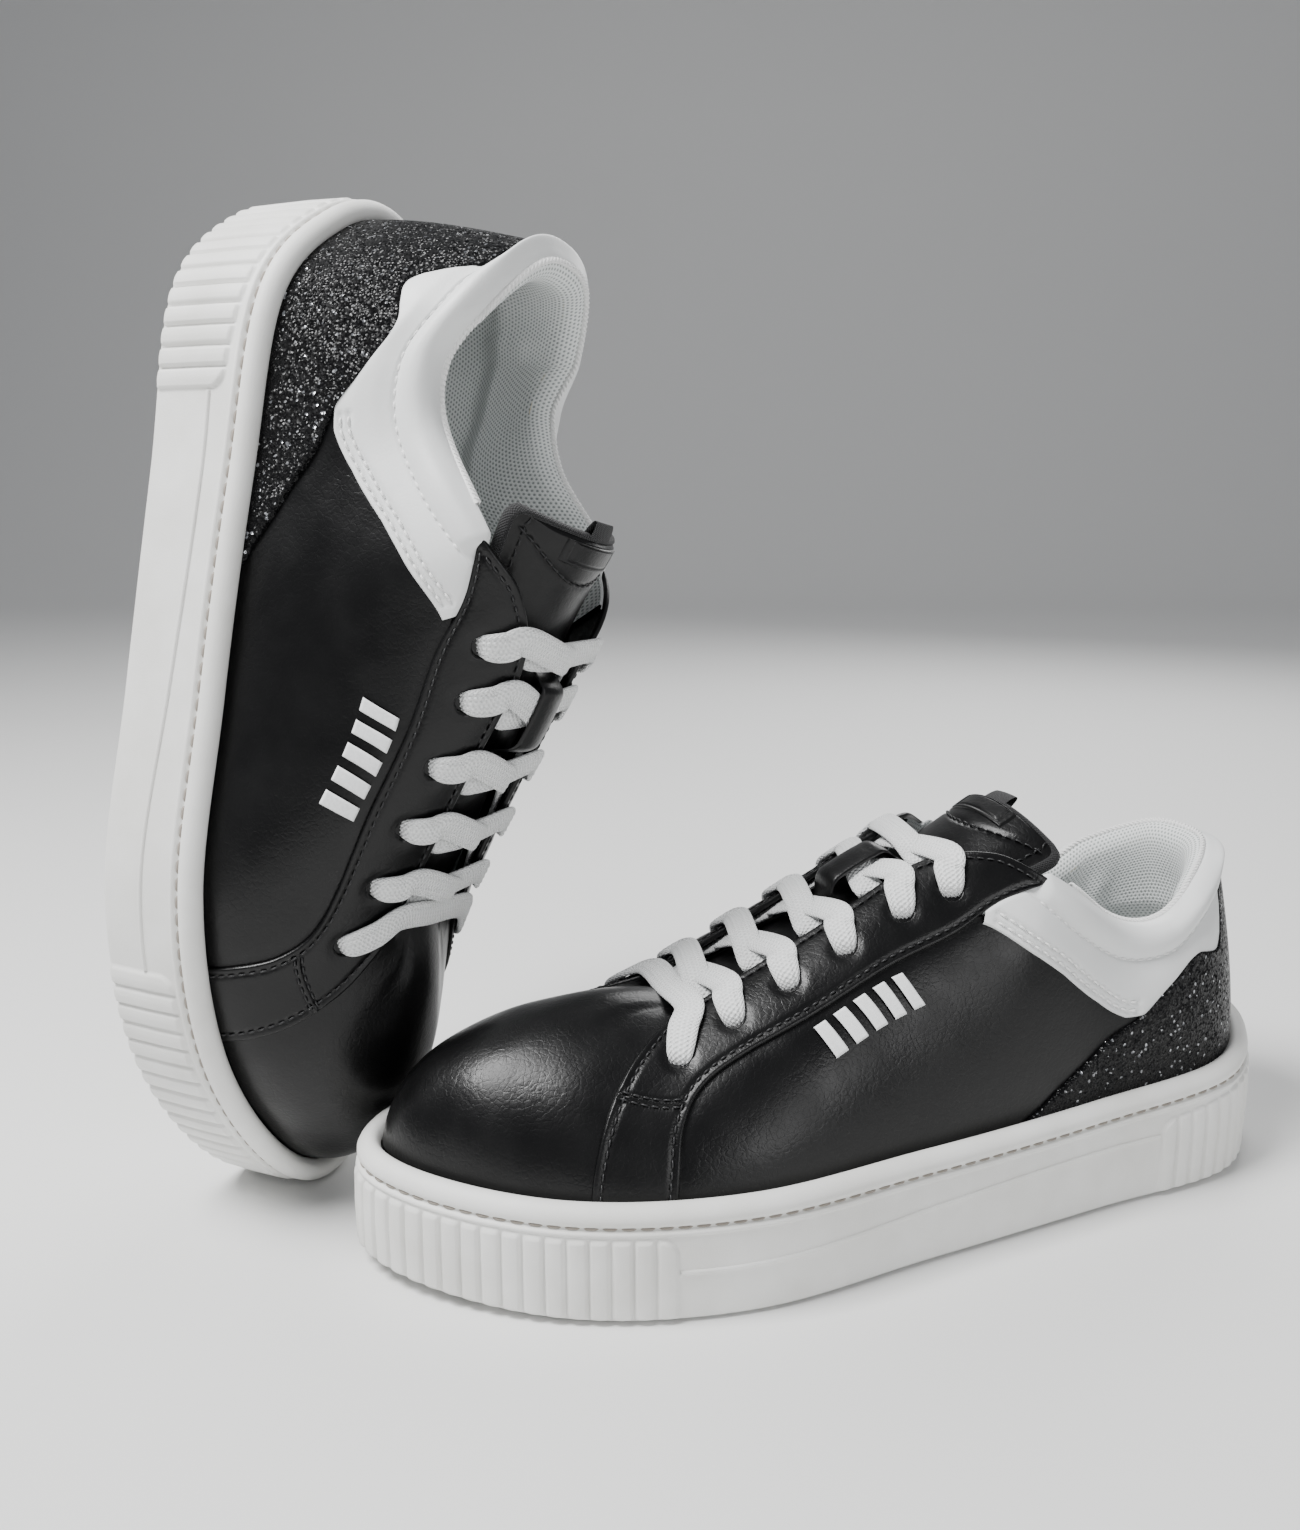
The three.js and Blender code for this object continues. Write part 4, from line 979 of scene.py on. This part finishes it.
# ---- tongue
def tongue(shoe):
    s = np.linspace(0, 1, 190)[:, None]
    b = np.linspace(-1, 1, 90)[None, :]
    top, n = on_tongue(s, b, 0)
    to_side = (1 - np.abs(b)) * 22 + 0 * s
    to_end = (1 - s) * 150 + 0 * b
    near = np.minimum(to_side, to_end)
    puff = 0.9 * smooth(1.5, 8, near) - 0.5 * np.exp(-((near - 1.2) / 1.0) ** 2)
    top = top + n * (puff - edge_drop(near, 0.9))[..., None]
    # stitched curve and raised frame near the upper end
    curve_b = np.linspace(-0.93, 0.93, 200)
    curve, curve_n = on_tongue(0.79 + 0.1 * curve_b**2, curve_b, -0.8)
    top = dent(top, n, curve, 0.9, 0.5)
    sides = [on_tongue(np.linspace(0.1, 0.985, 260), across, -0.4) for across in (-0.88, 0.88)]
    for path, _ in sides:
        top = dent(top, n, path, 0.7, 0.25)
    leather_piece = Piece(shoe, "tongue_leather")
    under = tongue_point(s, b, 1.7)[:, ::-8]
    slab(leather_piece, top, under, n, n[:, ::-8])
    leather_piece.make(BLACK, "black_leather", "tongue", "tongue_leather", "tongue_foam")

    threads = Piece(shoe, "tongue_stitching")
    for path, normal in sides + [(curve, curve_n)]:
        stitches(threads, path, normal, 2.8, 2.2, 0.26, 0.12)
    threads.make(THREAD_BLACK, "black_leather", "tongue")

    low = tongue_point(s, b * 0.96, 1.8)
    deep = tongue_point(s, b * 0.9, 4.7) + n * (1.3 * smooth(0.75, 1.0, np.abs(b)))[..., None]
    inner = Piece(shoe, "tongue_lining")
    slab(inner, low, deep[:, ::-1], n, n)
    inner.make(MESH, "lining_mesh", "tongue", "tongue_lining")

    # folded binding round the free edge
    edge_s = np.concatenate([np.linspace(0.2, 0.985, 200), np.full(120, 1.0), np.linspace(0.985, 0.2, 200)])
    edge_b = np.concatenate([np.full(200, -0.97), np.linspace(-0.95, 0.95, 120), np.full(200, 0.97)])
    path = tongue_point(edge_s, edge_b, 1.9)
    for _ in range(8):
        path[1:-1] = (path[:-2] + 2 * path[1:-1] + path[2:]) / 4
    normal = unit(path - tongue_point(edge_s, edge_b, 2.9))
    binding = Piece(shoe, "tongue_binding")
    tube(binding, path, normal, 1.0, around=12, squash=1.8)
    # small pull tab at the top
    tab_s = np.linspace(0, 1, 26)[:, None]
    tab_b = np.linspace(-0.5, 0.5, 16)[None, :]
    root = tongue_point(1, tab_b * 0.42, 1.2)
    back = unit(tongue_point(1, tab_b, 1) - tongue_point(0.95, tab_b, 1))
    up = on_tongue(1, tab_b, 0)[1]
    turn = math.pi * tab_s[..., None]
    loop = root + back * (4.6 * np.sin(turn)) + up * (1.1 * np.cos(turn))
    binding.grid(loop, out=back + 0 * loop)
    binding.make(BINDING, "black_leather", "tongue")

    ps = np.linspace(0, 1, 44)[:, None]
    pb = np.linspace(0, 1, 60)[None, :]
    d = np.minimum(np.minimum(ps, 1 - ps) * 20, np.minimum(pb, 1 - pb) * 24)
    frame_line = 0.35 * np.exp(-((d - 2.6) / 0.6) ** 2)
    height = 1.5 - edge_drop(d, 0.7) - frame_line
    flat, pn = on_tongue(0.835 + 0.115 * ps, (2 * pb - 1) * 0.5, 0)
    patch = Piece(shoe, "tongue_patch").grid(flat + pn * height[..., None], out=pn)
    patch.make(BLACK, "black_leather", "tongue", "tongue_patch")


# ---- laces
LACE_WIDTH = 7.8
LACE_THICK = 1.5
LACE_RIBS = 5


def lace_strand(piece, points, normals, widths, thicks):
    """Flat woven lace through guide points, with lengthwise ribs and rounded edges."""
    a = np.linspace(0, 1, 64)
    path, width, thick = through(points, a), through(widths, a), through(thicks, a)
    side, n = frames_along(path, unit(through(normals, a)))
    angle = np.linspace(0, 2 * math.pi, 60, endpoint=False)
    c, s = np.cos(angle), np.sin(angle)
    across = np.sign(c) * np.abs(c) ** 0.85
    high = np.sign(s) * np.abs(s) ** 0.55
    groove = (across + 1) * LACE_RIBS / 2
    groove = np.exp(-(((groove - np.round(groove)) / 0.2) ** 2)) * smooth(0.12, 0.4, np.abs(s))
    rib = 1.08 - 0.34 * groove
    body = (
        path[:, None]
        + side[:, None] * (across[None] * width[:, None] / 2)[..., None]
        + n[:, None] * ((high * rib)[None] * thick[:, None] / 2)[..., None]
    )
    out = side[:, None] * c[None, :, None] + n[:, None] * s[None, :, None]
    girth = angle / math.pi * LACE_WIDTH
    uv = np.stack(np.broadcast_arrays(run_length(path)[:, None], girth[None]), -1)
    piece.grid(body, out=out, close_b=True, uv=uv)


def throat(sign, i, offset):
    u = np.array(sign * (EYELET_START - EYELET_STEP * i))
    return upper_at(u, 0.985, offset), upper_normal(u, np.array(0.97))


def lacing(shoe):
    up = unit(np.array([0.38, 0, 0.92]))
    lace = Piece(shoe, "lace")

    def crest(i, extra):
        return (throat(1, i, 0)[0] + throat(-1, i, 0)[0]) / 2 + up * extra

    def over_side(sign, i, lag=0.0):
        """Guides from the edge of the facing out to the eyelet and down into it."""
        edge, edge_n = throat(sign, i - lag, OVERLAY + 1.1)
        hole, hole_n = eyelet(sign, i, OVERLAY + 0.5)
        middle = (edge + hole) / 2 + (edge_n + hole_n) * 0.55
        deep, _ = eyelet(sign, i, -2.2)
        inward = unit(edge - hole)
        return [
            (edge, edge_n, LACE_WIDTH, LACE_THICK), (middle, edge_n + hole_n, LACE_WIDTH, LACE_THICK * 1.1),
            (hole + inward * 1.4, hole_n + inward * -0.2, LACE_WIDTH * 0.86, LACE_THICK * 1.35),
            (deep - inward * 1.0, -inward + hole_n * 0.25, 4.4, 2.3),
        ]

    def run(guides):
        points, normals, widths, thicks = (np.array([g[k] for g in guides], float) for k in range(4))
        lace_strand(lace, points, unit(normals), widths, thicks)

    centre = [(crest(0, 2.3), up, LACE_WIDTH, LACE_THICK)]
    run(over_side(1, 0)[::-1] + centre + over_side(-1, 0))
    # which strand lies on top at each crossing is the same in both shoes, not mirrored
    lateral_first = not shoe.flip
    for start, end in ((1, -1), (-1, 1)):
        on_top = (start == 1) == lateral_first
        for i in range(EYELETS - 1):
            from_under, under_n = throat(start, i + 0.26, -2.4)
            hidden, hidden_n = eyelet(start, i, -2.6)
            middle = (crest(i, 0) + crest(i + 1, 0)) / 2 + up * (1.9 + (1.75 if on_top else 0))
            rise = from_under * 0.6 + middle * 0.4 + up * 0.7
            guides = [
                (hidden, hidden_n, 4.4, LACE_THICK), (from_under, under_n, LACE_WIDTH * 0.95, LACE_THICK),
                (rise, under_n + up, LACE_WIDTH, LACE_THICK), (middle, up, LACE_WIDTH, LACE_THICK),
            ]
            run(guides + over_side(end, i + 1, 0.28))
    lace.make(LACE, "lace_cotton", "shoe", "lace")

    # leather keeper that bridges the fourth crossing
    keeper = Piece(shoe, "lace_keeper")
    at = 0.577
    half_arch = [(14.5, -0.6), (12, -3.4), (8.6, -8.9), (4, -9.9)]
    arch = [(-x, z) for x, z in half_arch] + half_arch[::-1]
    pace = np.linalg.norm(tongue_point(at + 0.05, 0, 0) - tongue_point(at - 0.05, 0, 0)) / 0.1
    line = through(arch, np.linspace(0, 1, 80))
    b = np.linspace(-1, 1, 34)[None, :]
    half = 5.2
    shares = at + line[:, 0] / pace
    drop = edge_drop((1 - np.abs(b)) * half, 0.6) + 0.5 * b**2
    spine_n = on_tongue(shares[:, None], 0 * b, -1)[1]
    outer = tongue_point(shares[:, None], b * half / 21, line[:, 1:] + 0 * b) - spine_n * drop[..., None]
    lower = outer - spine_n * (1.2 - drop)[..., None]
    slab(keeper, outer, lower[:, ::-1], spine_n, spine_n)
    keeper.make(BLACK, "black_leather", "shoe", "lace_keeper")


# ---- both shoes
RIGHT_LEAN = math.radians(10)
RIGHT_TURN = math.radians(-25.6)
LEFT_TURN = math.radians(-159.46)
c, s = math.cos(LEFT_TURN), math.sin(LEFT_TURN)
left = Shoe("left", (c, s, 0), (-s, c, 0), (0, 0, 1))
face_to = np.array([math.cos(RIGHT_TURN), math.sin(RIGHT_TURN), 0])
sideways = np.array([math.sin(RIGHT_TURN), -math.cos(RIGHT_TURN), 0])
down = np.array([0, 0, -1.0])
toe_down = down * math.cos(RIGHT_LEAN) + sideways * math.sin(RIGHT_LEAN)
inward = down * math.sin(RIGHT_LEAN) - sideways * math.cos(RIGHT_LEAN)
right = Shoe("right", toe_down, -inward, face_to)

for shoe in (left, right):
    sole(shoe)
    upper_parts(shoe)
    lining(shoe)
    tongue(shoe)
    lacing(shoe)

# hidden layers keep their CAD shape
HIDDEN = {
    "midsole_filler": FOAM, "collar_foam": FOAM, "insole_board": BOARD,
    "toe_puff": STIFF, "heel_stiffener": STIFF,
    "vamp_lining": MESH, "quarter_lining_lateral": MESH, "quarter_lining_medial": MESH,
}
for name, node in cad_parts.items():
    kind = name.split("_", 1)[1]
    if kind in HIDDEN:
        node.data.materials.clear()
        node.data.materials.append(HIDDEN[kind])

# ---- floor, light and camera
# the floor curves up behind the shoes into a backdrop
FLOOR_REACH = 6
CURVE_START = 1.6
CURVE_RADIUS = 0.9
sweep = [(-FLOOR_REACH, 0), (CURVE_START, 0)]
for v in np.linspace(0.1, math.pi / 2, 16):
    sweep.append((CURVE_START + CURVE_RADIUS * math.sin(v), CURVE_RADIUS - CURVE_RADIUS * math.cos(v)))
sweep.append((CURVE_START + CURVE_RADIUS, 8))
floor_points = [(x, y, z - 0.0003) for y, z in sweep for x in (-FLOOR_REACH, FLOOR_REACH)]
floor_faces = [(2 * k, 2 * k + 1, 2 * k + 3, 2 * k + 2) for k in range(len(sweep) - 1)]
floor_mesh = bpy.data.meshes.new("floor")
floor_mesh.from_pydata(floor_points, [], floor_faces)
floor_mesh.polygons.foreach_set("use_smooth", [True] * len(floor_faces))
floor_mesh.materials.append(new_material("pale floor", (0.80, 0.80, 0.79), 0.6)[0])
add_object("floor", floor_mesh)


def area_light(name, where, target, size, power):
    data = bpy.data.lights.new(name, "AREA")
    data.size = size
    data.energy = power
    lamp = add_object(name, data)
    lamp.location = where
    lamp.rotation_euler = (Vector(target) - Vector(where)).to_track_quat("-Z", "Y").to_euler()


area_light("key", (-0.5, -0.2, 0.95), (-0.02, 0, 0.08), 0.42, 21)
area_light("fill", (0.7, -0.9, 0.35), (0.02, 0, 0.08), 0.5, 3.5)
area_light("rim", (0.35, 0.8, 0.7), (0, 0, 0.1), 0.6, 6)

world = bpy.data.worlds.new("studio")
bpy.context.scene.world = world
world.use_nodes = True
world.node_tree.nodes["Background"].inputs["Color"].default_value = (0.93, 0.95, 1.0, 1)
world.node_tree.nodes["Background"].inputs["Strength"].default_value = 0.28

camera_data = bpy.data.cameras.new("camera")
camera_data.sensor_fit = "HORIZONTAL"
camera_data.sensor_width = 36
camera_data.lens = 36.6
CAMERA_PITCH = 12.53
camera = add_object("camera", camera_data)
from_heel = np.array([-179.6, -393.5, 196.3])
camera.location = left.origin + from_heel * MM
camera.rotation_euler = (math.radians(90 - CAMERA_PITCH), 0, 0)
bpy.context.scene.camera = camera
